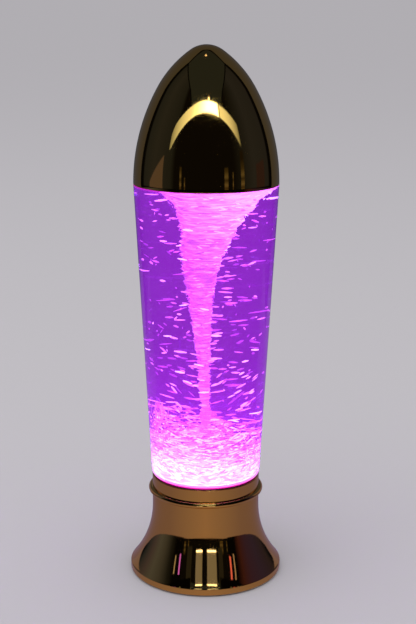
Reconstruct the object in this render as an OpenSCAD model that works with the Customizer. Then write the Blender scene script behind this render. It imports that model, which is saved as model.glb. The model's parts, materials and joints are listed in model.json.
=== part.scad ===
// Tornado lamp: a clear vessel of glitter liquid on a flared base, under a pointed cap.
// A motor in the base turns magnets, which turn an impeller through the vessel's floor.
// Millimetres, +Z up, origin on the table at the middle of the feet.

/* [Base shell] */
// Diameter across the rim that stands on the table
rim_d = 104; // [96:0.5:116]
// Height of the upright lip at the rim
lip_h = 4.2; // [3:0.1:7]
// Height of the hollow flare above the lip
flare_h = 42; // [38:0.5:50]
// Height of the straight neck above the flare
neck_h = 9.5; // [8:0.5:16]
// Outside diameter of the neck
neck_d = 73.2; // [70:0.2:80]
// Wall of the spun shell
shell_wall = 1.2; // [0.8:0.1:1.8]

/* [Bead and collar] */
// Height of the half-round bead
bead_h = 4; // [3:0.1:6]
// How far the bead stands out past the neck
bead_proud = 2.6; // [2:0.1:4]
// Height of the collar band above the bead
collar_h = 8.5; // [6:0.5:14]
// Wall of the collar's spigot
collar_wall = 2.4; // [1.5:0.1:3.5]
// Thickness of the gasket between collar and vessel
gasket_t = 0.6; // [0.4:0.1:1.2]

/* [Vessel] */
// Height of the vessel from its seat to the cap's edge
vessel_h = 198.7; // [150:0.5:240]
// How far the vessel's bottom edge stands out past the collar
vessel_overhang = 0.2; // [0.1:0.1:2]
// Outside diameter at the cap's edge
vessel_top_d = 95.4; // [88:0.2:104]
// Wall of the vessel
vessel_wall = 1.8; // [1.2:0.1:2.6]
// Radius of the vessel's bottom edge
foot_round = 2.5; // [1:0.1:3]
// Depth of the impeller well below the seat
well_depth = 17; // [16:0.2:20]
// Thickness of the well's floor
floor_t = 2.6; // [2:0.1:3]
// Height of the rim that goes up inside the cap
mouth_h = 9; // [7:0.5:12]
// Thickness of the shoulder that carries the cap
shoulder_t = 1.4; // [1:0.1:2.5]
// Thickness of the lid's flange
lid_t = 2.5; // [2:0.1:3.5]
// Wall of the lid's spigot
lid_wall = 3.2; // [2.8:0.1:4]
// Diameter of the fill hole
fill_d = 10; // [8:0.5:14]
// Diameter of the lid's seal cord
seal_d = 2; // [1.6:0.1:2.2]

/* [Cap] */
// Height of the cap from its edge to its tip
cap_h = 89; // [76:0.5:110]
// How much flatter the flank's arc is than one that would run into the tip by itself
cap_fullness = 10; // [6:1:16]
// Radius of the arc between flank and tip
cap_shoulder_r = 72; // [66:1:80]
// Radius of the rounded tip
cap_nose_r = 18; // [14:0.5:20]
// Wall of the cap
cap_wall = 1.2; // [0.8:0.1:1.8]

/* [Liquid] */
// How far the liquid stands above the cap's edge, inside the mouth
fill_rise = 0.8; // [0.2:0.1:1.4]
// Ring of liquid left round the funnel's mouth
funnel_margin = 12.5; // [10:0.5:16]
// Radius of the funnel's core near the bottom
funnel_core = 1.5; // [1.2:0.1:2.4]
// Depth over which the funnel narrows
funnel_decay = 38; // [24:1:50]
// Thickness of the funnel's glitter sheath
sheath_t = 1.2; // [0.8:0.1:2]
// Height of the glitter cloud over the impeller, up to its crest
cloud_h = 31; // [24:1:40]
// How far the cloud's top swells up between the funnel and the wall
cloud_swell = 7; // [4:0.5:10]
// Layer of clear liquid between the cloud and the vessel's wall and foot
cloud_margin = 1.5; // [1:0.1:3]

/* [Impeller] */
// Diameter of the pivot pin
pin_d = 3; // [2:0.1:4]
// Gap between impeller and well wall
impeller_gap = 10; // [6:0.5:12]
// Thickness of the impeller's disc
impeller_t = 4; // [3.6:0.1:4.6]
// Height of the impeller's blades
blade_h = 4.4; // [3:0.1:5]
// Thickness of a blade
blade_t = 1.4; // [1:0.1:2]
// Number of blades
blades = 6; // [4:1:8]
// Diameter of a driven magnet
driven_magnet_d = 8; // [6:0.5:9]
// Height of a driven magnet
driven_magnet_h = 2.6; // [2:0.1:2.8]

/* [Drive] */
// Diameter of the motor can
motor_d = 24.4; // [20:0.2:26]
// Height of the motor from end cap to face
motor_h = 12; // [10:0.5:12.5]
// Diameter of the motor shaft
shaft_d = 2; // [1.5:0.1:2.6]
// Thickness of the magnet carrier's disc
carrier_t = 5; // [4.5:0.1:5.5]
// Height of the carrier's hub under the disc
carrier_hub_h = 3; // [2:0.1:4]
// Diameter of a drive magnet
drive_magnet_d = 9; // [6:0.5:10]
// Height of a drive magnet
drive_magnet_h = 3; // [2:0.1:3.5]
// Thickness of the deck plate
deck_t = 2; // [1.5:0.1:2.5]

/* [Light] */
// Thickness of the light window
window_t = 2; // [1.5:0.1:2.5]
// Wall of the window's skirt
skirt_t = 1.2; // [1:0.1:1.6]
// Thickness of the circuit boards
board_t = 1.6; // [1:0.1:2]
// Height of the posts under the light board
led_post_h = 3; // [2.4:0.1:4]
// Width of the light board's ring
led_ring_w = 11; // [10:0.5:12]
// Side of a light-emitting diode
led_w = 5; // [3:0.1:5.4]
// Height of a light-emitting diode
led_h = 1.6; // [1:0.1:2]
// Number of light-emitting diodes
led_count = 8; // [6:2:8]

/* [Battery] */
// Diameter of a cell
cell_d = 14.2; // [14:0.1:14.5]
// Length of a cell with its nub
cell_len = 50.5; // [49.5:0.1:51]
// Wall of the battery bay
bay_wall = 1.5; // [1.2:0.1:2]
// Room for a contact at each end of the bay
contact_room = 2.2; // [2:0.1:3]
// Thickness of a contact
contact_t = 0.4; // [0.3:0.05:0.5]
// Ledge round the door's opening
door_ledge = 2; // [1.5:0.1:3]

/* [Underside] */
// Thickness of the bottom cover
cover_t = 2.2; // [2:0.1:3]
// Diameter of a rubber foot
foot_d = 10; // [8:0.5:12]
// How far the feet hold the rim off the table
foot_proud = 1; // [0.6:0.1:1.5]
// Diameter of a pillar under the deck
pillar_d = 6; // [5:0.1:6.4]
// Height of the insert that takes the cover's screws
insert_h = 6; // [5:0.1:7]

/* [Back] */
// Width of the back panel
panel_w = 25; // [24:0.2:27]
// Height of the back panel
panel_h = 11.4; // [11:0.1:12]
// Wall of the back panel
panel_t = 1.8; // [1.2:0.1:2]
// Wall round the panel's recess
panel_rim = 1.4; // [1:0.1:1.5]
// Diameter of the push button
button_d = 6; // [5:0.1:6.4]
// How far the button stands out of the panel
button_proud = 2; // [1.6:0.1:3]
// Travel of the button
button_travel = 1.5; // [1:0.1:1.5]
// Width of the power inlet
inlet_w = 8.94; // [8.5:0.02:9.2]
// Height of the power inlet
inlet_h = 3.26; // [3:0.02:3.5]

/* [Fits] */
// Gap between the collar's spigot and the neck, all round
spigot_clear = 0.3; // [0.2:0.05:0.6]
// Gap between cap and vessel mouth, all round
cap_clear = 0.3; // [0.2:0.05:0.6]
// Gap between parts that turn and what is round them
turn_clear = 0.4; // [0.3:0.05:0.6]
// Gap round a shaft or pin in its bore
run_clear = 0.05; // [0.02:0.01:0.1]
// Gap round parts that are bonded or pressed in
bond_clear = 0.1; // [0.05:0.05:0.2]
// Gap round doors, covers and buttons
door_clear = 0.3; // [0.2:0.05:0.5]

/* [Hidden] */
$fn = 96;
// Overrun of a cutting shape past the face that it cuts
over = 1;

// Heights of the main joins, from the table up
z_rim = foot_proud;
z_lip = z_rim + lip_h;
z_flare = z_lip + flare_h;
z_neck = z_flare + neck_h;
z_bead = z_neck + bead_h;
z_collar = z_bead + collar_h;
z_seat = z_collar + gasket_t;
z_cap = z_seat + vessel_h;
z_mouth = z_cap + mouth_h;
z_lid = z_mouth + lid_t;

// Base shell: the flare is an arc that leaves the neck upright and ends at the lip
rim_r = rim_d / 2;
neck_r = neck_d / 2;
neck_in_r = neck_r - shell_wall;
flare_out = rim_r - neck_r;
flare_r = (flare_out * flare_out + flare_h * flare_h) / (2 * flare_out);
flare_cx = neck_r + flare_r;
function flare_at(z, inset) =
    flare_cx - sqrt(pow(flare_r + inset, 2) - pow(z_flare - z, 2));

// Collar and bead
spigot_r = neck_in_r - spigot_clear;
bead_cx = neck_r + bead_proud - bead_h / 2;

// Vessel: a straight taper with a rounded foot, a well below and a mouth above
collar_in_r = spigot_r - collar_wall;
well_r = collar_in_r - bond_clear;
well_in_r = well_r - vessel_wall;
z_well = z_seat - well_depth;
z_floor = z_well + floor_t;
foot_r = neck_r + vessel_overhang;
top_r = vessel_top_d / 2;
taper = (top_r - foot_r) / vessel_h;
taper_len = sqrt(1 + taper * taper);
foot_cx = foot_r + foot_round * (taper - taper_len);
foot_tx = foot_cx + foot_round / taper_len;
foot_tz = z_seat + foot_round - foot_round * taper / taper_len;
function vessel_in(z) = foot_r + (z - z_seat) * taper - vessel_wall * taper_len;

// Cap: a flank that leaves the edge upright, a rounder shoulder and a round tip, three arcs that touch
cap_nose_z = cap_h - cap_nose_r;
single_r = (top_r * top_r + cap_nose_z * cap_nose_z - cap_nose_r * cap_nose_r) / (2 * (top_r - cap_nose_r));
flank_r = single_r + cap_fullness;
flank_cx = top_r - flank_r;
// The shoulder's centre is this far from the flank's centre, and from the tip's
flank_reach = flank_r - cap_shoulder_r;
nose_reach = cap_shoulder_r - cap_nose_r;
centre_span = norm([flank_cx, cap_nose_z]);
centre_dir = [-flank_cx, cap_nose_z] / centre_span;
shoulder_along = (pow(flank_reach, 2) - pow(nose_reach, 2) + pow(centre_span, 2)) / (2 * centre_span);
shoulder_aside = sqrt(pow(flank_reach, 2) - pow(shoulder_along, 2));
shoulder_cx = flank_cx + shoulder_along * centre_dir[0] + shoulder_aside * centre_dir[1];
shoulder_cz = shoulder_along * centre_dir[1] - shoulder_aside * centre_dir[0];
// Heights above the edge at which one arc runs into the next, on a face set in by a wall
function flank_end(inset) = (flank_r - inset) * shoulder_cz / flank_reach;
function shoulder_end(inset) =
    shoulder_cz + (cap_shoulder_r - inset) * (cap_nose_z - shoulder_cz) / nose_reach;
function cap_in(h) = flank_cx + sqrt(pow(flank_r - cap_wall, 2) - h * h);

// Vessel mouth and lid, tied to the inside of the cap
mouth_r = cap_in(mouth_h + lid_t) - cap_clear;
mouth_in_r = mouth_r - vessel_wall;
lid_spigot_r = mouth_in_r - bond_clear;
z_lid_spigot = z_cap + fill_rise + turn_clear;
z_seal = (z_lid_spigot + z_mouth) / 2;
fill_r = fill_d / 2;
fill_boss_wall = 3.2;
fill_seal_t = 0.8;
fill_head_r = fill_r + fill_boss_wall;
fill_head_h = 3.4;
fill_shank_gap = 1;
fill_slot_w = 1.6;
fill_slot_depth = 1.4;

// Impeller on its pin, from the floor of the well up
pin_r = pin_d / 2;
boss_wall = 3;
boss_r = pin_r + boss_wall;
boss_h = 1.5;
pin_seat = 1.7;
washer_t = 0.5;
hub_wall = 3.5;
hub_r = pin_r + hub_wall;
impeller_r = well_in_r - impeller_gap;
z_washer = z_floor + boss_h;
z_pin_foot = z_floor - pin_seat;
z_impeller = z_washer + washer_t + bond_clear;
z_blades = z_impeller + impeller_t;
z_hub = z_blades + blade_h;
retainer_h = 1.6;
z_retainer = z_hub + bond_clear;
z_pin = z_retainer + retainer_h - bond_clear;
driven_pitch_r = (hub_r + impeller_r) / 2;
blade_inset = 0.5;

// Liquid, cleared for the impeller's sweep, the funnel and the glitter cloud
z_fill = z_cap + fill_rise;
z_under_shoulder = z_cap - shoulder_t - bond_clear;
z_over_foot = z_seat + vessel_wall + bond_clear;
sweep_r = impeller_r + turn_clear;
z_sweep = z_retainer + retainer_h + turn_clear;
funnel_r = mouth_in_r - funnel_margin;
funnel_steps = 26;
z_funnel = z_sweep + turn_clear;
function funnel_at(z) = funnel_core + (funnel_r - funnel_core) * exp((z - z_fill) / funnel_decay);
function funnel_z(i, z0) = z0 + (z_fill - z0) * i / funnel_steps;
// The sheath is hollow from where it is its own thickness wider than the core
z_hollow = z_fill + funnel_decay * ln(sheath_t / (funnel_r - funnel_core));

// Glitter cloud: a ring round the funnel's foot with a swollen top
z_cloud = z_over_foot + cloud_margin;
z_cloud_edge = z_cloud + cloud_h - cloud_swell;
cloud_steps = 10;
function cloud_in(z) = funnel_at(z) + turn_clear;
function cloud_out(z) = vessel_in(z) - bond_clear - cloud_margin * taper_len;

// Light window, a cup over the drive, just under the well
window_gap = 1.2;
z_window = z_well - window_gap - window_t;
window_r = neck_in_r - spigot_clear;
skirt_in_r = window_r - skirt_t;

// Bottom cover, battery bay and motor, from the table up
cover_lift = 0.2;
z_cover = z_rim + cover_lift;
z_cover_top = z_cover + cover_t;
cover_r = rim_r - shell_wall - door_clear;
cell_r = cell_d / 2;
cell_gap = 0.4;
cell_pitch = cell_d + cell_gap;
cell_count = 3;
nub_r = 2.7;
nub_h = 1;
z_cell = z_cover_top + cell_gap + cell_r;
bay_x = cell_len / 2 + contact_room;
bay_y = cell_count * cell_pitch / 2 + cell_gap;
z_bay = z_cell + cell_r + cell_gap;
z_bay_top = z_bay + bay_wall;
motor_gap = 0.8;
z_motor = z_bay_top + motor_gap;
z_deck = z_motor + motor_h;
z_deck_top = z_deck + deck_t;
deck_gap = 0.6;
deck_r = flare_at(z_deck_top, shell_wall) - deck_gap;

// Door steps
door_t = cover_t / 2;
door_notch_r = 6;
door_notch_depth = 0.6;

// Screws: shank radius, head radius, head height
cover_screw = [1.4, 2.7, 1.4];
deck_screw = [1.1, 2.1, 1.6];
motor_screw = [0.9, 1.8, 1.3];
led_screw = [0.8, 1.6, 1.2];
screw_bite = 6;
led_screw_bite = 4;
slot_w = 0.6;
slot_depth = 0.6;

// Pillars between the bay's wall and the window's skirt
pillar_r = pillar_d / 2;
pillar_gap = 0.5;
pillar_reach = skirt_in_r - deck_screw[1] - pillar_gap;
pillar_y = bay_y + bay_wall + pillar_r + pillar_gap;
pillar_x = sqrt(pillar_reach * pillar_reach - pillar_y * pillar_y);

// Motor details
motor_r = motor_d / 2;
shaft_r = shaft_d / 2;
can_wall = 0.8;
can_face = 1;
end_cap_h = 2;
end_cap_spigot = 1.5;
motor_boss_wall = 2;
motor_boss_r = shaft_r + motor_boss_wall;
motor_boss_h = 1.6;
field_t = 1.8;
field_angle = 120;
armature_gap = 0.5;
armature_r = motor_r - can_wall - bond_clear - field_t - armature_gap;
armature_end = 1.2;
armature_slots = 3;
armature_slot_w = 1.6;
commutator_wall = 1.6;
commutator_r = shaft_r + commutator_wall;
z_can = z_motor + end_cap_h;
z_armature = z_can + end_cap_spigot + armature_end;
z_armature_top = z_deck - can_face - armature_end;
motor_screw_edge = 4;
motor_screw_x = motor_r - motor_screw_edge;

// Magnet carrier, close under the window
drive_gap = 0.8;
z_carrier_top = z_window - drive_gap;
z_carrier = z_carrier_top - carrier_t;
z_carrier_hub = z_carrier - carrier_hub_h;
carrier_hub_wall = 4;
carrier_hub_r = shaft_r + carrier_hub_wall;
carrier_skin = 1;
led_out_r = skirt_in_r - turn_clear;
led_in_r = led_out_r - led_ring_w;
carrier_gap = 2.6;
carrier_r = led_in_r - carrier_gap;
carrier_edge = 1.5;
drive_pitch_r = carrier_r - drive_magnet_d / 2 - carrier_edge;

// Light board on its posts
z_led_board = z_deck_top + led_post_h;
z_led = z_led_board + board_t;
led_pitch_r = (led_in_r + led_out_r) / 2;
led_post_r = 2.4;
led_post_edge = 0.6;
led_post_reach = led_out_r - led_post_r - led_post_edge;
led_post_angles = [0, 180, 270];
led_turn = 180 / led_count;

// Insert for the cover's screws, and the feet
insert_w = 9;
insert_skin = 1;
insert_r = rim_r - insert_w - shell_wall;
cover_screw_reach = insert_r + insert_w / 2 - cover_screw[1];
cover_screw_bite = cover_t - cover_screw[2] + insert_h - insert_skin - bond_clear;
foot_edge = 6;
foot_reach = rim_r - foot_d / 2 - foot_edge;
foot_recess = 0.6;
feet = 4;
quarter = 90;
diagonal = 45;

// Back panel: an upright face set into the flare
panel_x = panel_w / 2;
panel_lift = 0.6;
z_panel = z_lip + panel_lift;
z_panel_top = z_panel + panel_h;
panel_step = 0.7;
panel_y = sqrt(pow(flare_at(z_panel_top, 0), 2) - panel_x * panel_x) - panel_step;
panel_back_y = panel_y - panel_t;
recess_x = panel_x - panel_rim;
z_recess = z_panel + panel_rim;
z_recess_top = z_panel_top - panel_rim;
inlet_x = -5;
button_x = 6;
button_r = button_d / 2;
button_flange_w = 0.7;
button_flange_r = button_r + button_flange_w;
button_flange_t = 1.1;
stem_r = 1.4;
stem_len = 3;
switch_depth = 3.8;
switch_w = 6;
board_x = 10.4;
board_back_y = panel_back_y - bond_clear;
board_d = 7;
board_front_y = board_back_y - board_d;
board_lift = 1;
z_board_top = z_recess + board_lift;
z_board = z_board_top - board_t;
z_inlet = z_board_top + inlet_h / 2;
z_button = z_board_top + button_flange_r + door_clear;
button_back_y = panel_back_y - door_clear - button_flange_t;
switch_y = button_back_y - button_travel - door_clear;
inlet_depth = 6.8;
inlet_wall = 0.3;
inlet_back = 1;
tongue_w = 6.6;
tongue_t = 0.7;
tongue_back = 0.6;
board_post_r = 2.2;
board_post_x = 7.4;
board_post_inset = 3;
board_post_y = board_front_y + board_post_inset;

// Wires: points across (y) and up (z), along planes of one x each
wire_r = 0.5;
wire_sides = 8;
lead_hole_r = 2.4;
lead_x = 1.1;
lead_pitch = 1.5;
battery_lead_x = -3.6;
motor_route = [[0, 0], [4, 0], [9.5, 0], [12.6, -1], [14.2, -4.5], [15, -8], [16.6, -10.4], [19.4, -11.4]];
z_motor_lead = z_motor + end_cap_h / 2;
led_lead_inset = 1.2;
led_lead_y = led_post_reach - led_lead_inset;
led_route = [[0, 0], [0, -4], [0.6, -9], [2, -14], [4.5, -19], [7, -23]];
battery_lead_z = 14;
battery_route = [[0, 0], [2.4, -0.2], [5, -1.2], [7.6, -2]];

gold = "#b58a45";
clear = "#d8c6ea80";
purple = "#8e36c080";
pink = "#ee6cfa";
pale_pink = "#f7b1f0";
steel = "#b8bcc2";
black = "#26262a";
white = "#ececec";
green = "#2f6b46";
magnet = "#5a5c63";
rubber = "#1c1c1e";

// Shapes that repeat

module ring(outer, inner, z, h) {
    translate([0, 0, z])
        difference() {
            cylinder(r = outer, h = h);
            translate([0, 0, -over]) cylinder(r = inner, h = h + 2 * over);
        }
}

module drum(r, z, h) {
    translate([0, 0, z]) cylinder(r = r, h = h);
}

module block(x0, x1, y0, y1, z0, z1) {
    translate([x0, y0, z0]) cube([x1 - x0, y1 - y0, z1 - z0]);
}

// A screw with its head's seat at z, its shank pointing down and a slot in its head
module screw(sizes, z, bite) {
    difference() {
        union() {
            drum(sizes[0], z - bite, bite);
            drum(sizes[1], z, sizes[2]);
        }
        block(-sizes[1] - over, sizes[1] + over, -slot_w / 2, slot_w / 2,
              z + sizes[2] - slot_depth, z + sizes[2] + over);
    }
}

module at_pillars() {
    for (sx = [-1, 1], sy = [-1, 1])
        translate([sx * pillar_x, sy * pillar_y, 0]) children();
}

module round_about(reach, angles) {
    for (a = angles)
        rotate([0, 0, a]) translate([reach, 0, 0]) children();
}

// A wire of even thickness in the plane x, through points of [y, z]
module wire(x, points) {
    last = len(points) - 1;
    function along(i) = points[min(i + 1, last)] - points[max(i - 1, 0)];
    function square_to(i) = [-along(i)[1], along(i)[0]] / norm(along(i));
    function ring_point(i, k) =
        let (turn = 360 * k / wire_sides, out = wire_r * sin(turn) * square_to(i))
        [x + wire_r * cos(turn), points[i][0] + out[0], points[i][1] + out[1]];
    function corner(i, k) = i * wire_sides + k % wire_sides;
    sides = [
        for (i = [0 : last - 1], k = [0 : wire_sides - 1], half = [0, 1])
        half == 0 ? [corner(i, k), corner(i + 1, k), corner(i, k + 1)]
                  : [corner(i + 1, k), corner(i + 1, k + 1), corner(i, k + 1)]
    ];
    start = [for (k = [1 : wire_sides - 2]) [0, k, k + 1]];
    finish = [for (k = [1 : wire_sides - 2]) [corner(last, 0), corner(last, k + 1), corner(last, k)]];
    corners = [for (i = [0 : last], k = [0 : wire_sides - 1]) ring_point(i, k)];
    polyhedron(corners, concat(sides, start, finish));
}

module lead_pair(x, y, z, route) {
    for (side = [-1, 1])
        wire(x + side * lead_pitch / 2, [for (p = route) [y + p[0], z + p[1]]]);
}

// Half sections

module flare_section(inset) {
    difference() {
        union() {
            translate([0, z_rim]) square([rim_r - inset, z_flare - z_rim]);
            translate([0, z_flare]) square([neck_r - inset, neck_h]);
        }
        intersection() {
            translate([flare_cx, z_flare]) circle(r = flare_r + inset);
            translate([0, z_rim]) square([rim_d, z_flare - z_rim]);
        }
    }
}

module cap_arc(x, z, r, from, to) {
    intersection() {
        translate([x, z]) circle(r = r);
        translate([0, from]) square([vessel_top_d, to - from]);
    }
}

// Each arc starts a little inside the larger one under it, so that the three join
module cap_section(inset, z0) {
    cap_arc(flank_cx, 0, flank_r - inset, z0, flank_end(inset));
    cap_arc(shoulder_cx, shoulder_cz, cap_shoulder_r - inset, flank_end(inset) - over, shoulder_end(inset));
    cap_arc(0, cap_nose_z, cap_nose_r - inset, shoulder_end(inset) - over, cap_h);
}

module vessel_outside() {
    translate([0, z_well]) square([well_r, well_depth]);
    polygon([[0, z_seat], [foot_cx, z_seat], [foot_tx, foot_tz], [top_r, z_cap], [0, z_cap]]);
    translate([foot_cx, z_seat + foot_round]) circle(r = foot_round);
    translate([0, z_cap]) square([mouth_r, mouth_h]);
}

module vessel_inside() {
    z_shoulder = z_cap - shoulder_t;
    z_step = z_seat + vessel_wall;
    polygon([
        [0, z_floor], [well_in_r, z_floor], [well_in_r, z_step], [vessel_in(z_step), z_step],
        [vessel_in(z_shoulder), z_shoulder], [mouth_in_r, z_shoulder],
        [mouth_in_r, z_mouth + over], [0, z_mouth + over]
    ]);
}

module cloud_section(gap) {
    start = cloud_in(z_cloud_edge) - gap;
    finish = cloud_out(z_cloud_edge) + gap;
    polygon(concat(
        [[cloud_out(z_cloud) + gap, z_cloud - gap], [cloud_in(z_cloud) - gap, z_cloud - gap]],
        [
            for (i = [0 : cloud_steps]) let (part = i / cloud_steps)
            [start + (finish - start) * part, z_cloud_edge + gap + cloud_swell * sin(180 * part)]
        ]
    ));
}

// Cap and vessel

module cap_shell() {
    color(gold)
        translate([0, 0, z_cap])
            rotate_extrude()
                difference() {
                    cap_section(0, 0);
                    cap_section(cap_wall, -over);
                }
}

module vessel() {
    color(clear)
        difference() {
            union() {
                rotate_extrude()
                    difference() {
                        vessel_outside();
                        vessel_inside();
                    }
                drum(boss_r, z_floor - floor_t / 2, floor_t / 2 + boss_h);
            }
            drum(pin_r, z_pin_foot, z_washer - z_pin_foot + over);
        }
}

module vessel_lid() {
    color(white)
        difference() {
            union() {
                drum(mouth_r, z_mouth, lid_t);
                ring(lid_spigot_r, lid_spigot_r - lid_wall, z_lid_spigot, z_mouth - z_lid_spigot);
                drum(fill_head_r, z_lid_spigot, z_mouth - z_lid_spigot);
            }
            drum(fill_r, z_lid_spigot - over, z_lid - z_lid_spigot + 2 * over);
            ring(lid_spigot_r + over, mouth_in_r - seal_d - bond_clear, z_seal - seal_d / 2 - bond_clear,
                 seal_d + 2 * bond_clear);
        }
}

module lid_seal() {
    color(rubber)
        rotate_extrude()
            translate([mouth_in_r - seal_d / 2 - run_clear, z_seal]) circle(d = seal_d);
}

module fill_plug() {
    z_head = z_lid + fill_seal_t;
    z_shank = z_lid_spigot + fill_shank_gap;
    color(white)
        difference() {
            union() {
                drum(fill_r - bond_clear, z_shank, z_head - z_shank);
                drum(fill_head_r, z_head, fill_head_h);
            }
            block(-fill_head_r - over, fill_head_r + over, -fill_slot_w / 2, fill_slot_w / 2,
                  z_head + fill_head_h - fill_slot_depth, z_head + fill_head_h + over);
        }
}

module fill_plug_seal() {
    color(rubber) ring(fill_head_r, fill_r, z_lid, fill_seal_t);
}

// Liquid and impeller

module liquid() {
    color(purple)
        rotate_extrude()
            difference() {
                polygon(concat(
                    [
                        [sweep_r, z_sweep], [sweep_r, z_floor + bond_clear],
                        [well_in_r - bond_clear, z_floor + bond_clear], [well_in_r - bond_clear, z_over_foot],
                        [vessel_in(z_over_foot) - bond_clear, z_over_foot],
                        [vessel_in(z_under_shoulder) - bond_clear, z_under_shoulder],
                        [mouth_in_r - bond_clear, z_under_shoulder], [mouth_in_r - bond_clear, z_fill]
                    ],
                    [
                        for (i = [funnel_steps : -1 : 0])
                        let (z = funnel_z(i, z_sweep)) [funnel_at(z) + turn_clear, z]
                    ]
                ));
                cloud_section(bond_clear);
            }
}

module glitter_cloud() {
    color(pale_pink) rotate_extrude() cloud_section(0);
}

module vortex() {
    color(pink)
        rotate_extrude()
            polygon(concat(
                [[0, z_funnel]],
                [for (i = [0 : funnel_steps]) let (z = funnel_z(i, z_funnel)) [funnel_at(z), z]],
                [
                    for (i = [funnel_steps : -1 : 0])
                    let (z = funnel_z(i, z_hollow)) [funnel_at(z) - sheath_t, z]
                ],
                [[0, z_hollow]]
            ));
}

module impeller() {
    color(white)
        difference() {
            union() {
                drum(impeller_r, z_impeller, impeller_t);
                drum(hub_r, z_impeller, z_hub - z_impeller);
                for (i = [0 : blades - 1])
                    rotate([0, 0, i * 360 / blades])
                        block(0, impeller_r - blade_inset, -blade_t / 2, blade_t / 2, z_blades, z_hub);
            }
            drum(pin_r + run_clear, z_impeller - over, z_hub - z_impeller + 2 * over);
            round_about(driven_pitch_r, [0, 180])
                drum(driven_magnet_d / 2 + bond_clear, z_impeller - over,
                     driven_magnet_h + bond_clear + over);
        }
}

module impeller_magnets() {
    color(magnet)
        round_about(driven_pitch_r, [0, 180])
            drum(driven_magnet_d / 2, z_impeller, driven_magnet_h);
}

module pivot_pin() {
    color(steel) drum(pin_r - run_clear / 2, z_pin_foot, z_pin - z_pin_foot);
}

module thrust_washer() {
    color(white) ring(boss_r, pin_r + run_clear, z_washer, washer_t);
}

module pin_retainer() {
    color(steel)
        difference() {
            drum(boss_r, z_retainer, retainer_h);
            drum(pin_r, z_retainer - over, retainer_h - bond_clear + over);
        }
}

// Collar, bead and base shell

module collar() {
    color(gold)
        rotate_extrude()
            union() {
                translate([collar_in_r, z_well]) square([spigot_r - collar_in_r, z_collar - z_well]);
                translate([collar_in_r, z_bead]) square([neck_r - collar_in_r, collar_h]);
            }
}

module collar_gasket() {
    color(rubber) ring(neck_r - gasket_t / 2, collar_in_r, z_collar, gasket_t);
}

module trim_bead() {
    color(gold)
        rotate_extrude()
            union() {
                translate([neck_in_r, z_neck]) square([bead_cx - neck_in_r, bead_h]);
                translate([bead_cx, z_neck + bead_h / 2]) circle(d = bead_h);
            }
}

module panel_opening(gap) {
    block(-panel_x - gap, panel_x + gap, neck_in_r - shell_wall, rim_d, z_panel - gap, z_panel_top + gap);
}

module base_shell() {
    color(gold)
        difference() {
            rotate_extrude()
                difference() {
                    flare_section(0);
                    flare_section(shell_wall);
                    translate([0, z_rim - over]) square([rim_r - shell_wall, 2 * over]);
                    translate([0, z_neck - over]) square([neck_in_r, 2 * over]);
                }
            panel_opening(bond_clear);
        }
}

module base_insert() {
    color(black)
        difference() {
            rotate_extrude()
                intersection() {
                    flare_section(shell_wall + bond_clear);
                    translate([insert_r, z_cover_top]) square([rim_r, insert_h]);
                }
            round_about(cover_screw_reach, [for (i = [0 : feet - 1]) diagonal + i * quarter])
                drum(cover_screw[0] + run_clear, z_cover_top - over, insert_h - insert_skin + over);
            block(-panel_x - bond_clear, panel_x + bond_clear, 0, rim_d, z_rim, z_flare);
        }
}

// Light

module light_window() {
    color(clear)
        difference() {
            drum(window_r, z_deck_top, z_window + window_t - z_deck_top);
            drum(skirt_in_r, z_deck_top - over, z_window - z_deck_top + over);
        }
}

module led_board() {
    color(green)
        difference() {
            ring(led_out_r, led_in_r, z_led_board, board_t);
            round_about(led_post_reach, led_post_angles)
                drum(led_screw[0] + bond_clear, z_led_board - over, board_t + 2 * over);
        }
}

module leds() {
    color(white)
        round_about(led_pitch_r, [for (i = [0 : led_count - 1]) led_turn + i * 360 / led_count])
            block(-led_w / 2, led_w / 2, -led_w / 2, led_w / 2, z_led, z_led + led_h);
}

module led_screws() {
    color(steel) round_about(led_post_reach, led_post_angles) screw(led_screw, z_led, led_screw_bite);
}

// Drive

module magnet_carrier() {
    color(black)
        difference() {
            union() {
                drum(carrier_r, z_carrier, carrier_t);
                drum(carrier_hub_r, z_carrier_hub, carrier_hub_h);
            }
            drum(shaft_r + run_clear, z_carrier_hub - over, carrier_hub_h + carrier_t - carrier_skin + over);
            round_about(drive_pitch_r, [0, 180])
                drum(drive_magnet_d / 2 + bond_clear, z_carrier_top - drive_magnet_h - bond_clear,
                     drive_magnet_h + bond_clear + over);
        }
}

module drive_magnets() {
    color(magnet)
        round_about(drive_pitch_r, [0, 180])
            drum(drive_magnet_d / 2, z_carrier_top - drive_magnet_h - bond_clear, drive_magnet_h);
}

module motor_shaft() {
    z_foot = z_motor + end_cap_h / 2;
    color(steel) drum(shaft_r, z_foot, z_carrier_top - carrier_skin - bond_clear - z_foot);
}

module motor_armature() {
    color("#a4622e")
        difference() {
            union() {
                drum(armature_r, z_armature, z_armature_top - z_armature);
                drum(commutator_r, z_can + end_cap_spigot + bond_clear, armature_end);
            }
            drum(shaft_r + run_clear, z_can, z_deck - z_can);
            for (i = [0 : armature_slots - 1])
                rotate([0, 0, i * 360 / armature_slots])
                    block(armature_r / 2, motor_r, -armature_slot_w / 2, armature_slot_w / 2, z_can, z_deck);
        }
}

module motor_can() {
    color(steel)
        difference() {
            union() {
                drum(motor_r, z_can, z_deck - z_can);
                drum(motor_boss_r, z_deck, motor_boss_h);
            }
            drum(motor_r - can_wall, z_can - over, z_deck - can_face - z_can + over);
            drum(shaft_r + run_clear, z_can, motor_h + motor_boss_h);
            for (sx = [-1, 1])
                translate([sx * motor_screw_x, 0, 0]) drum(motor_screw[0] + run_clear, z_can, motor_h);
        }
}

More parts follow.
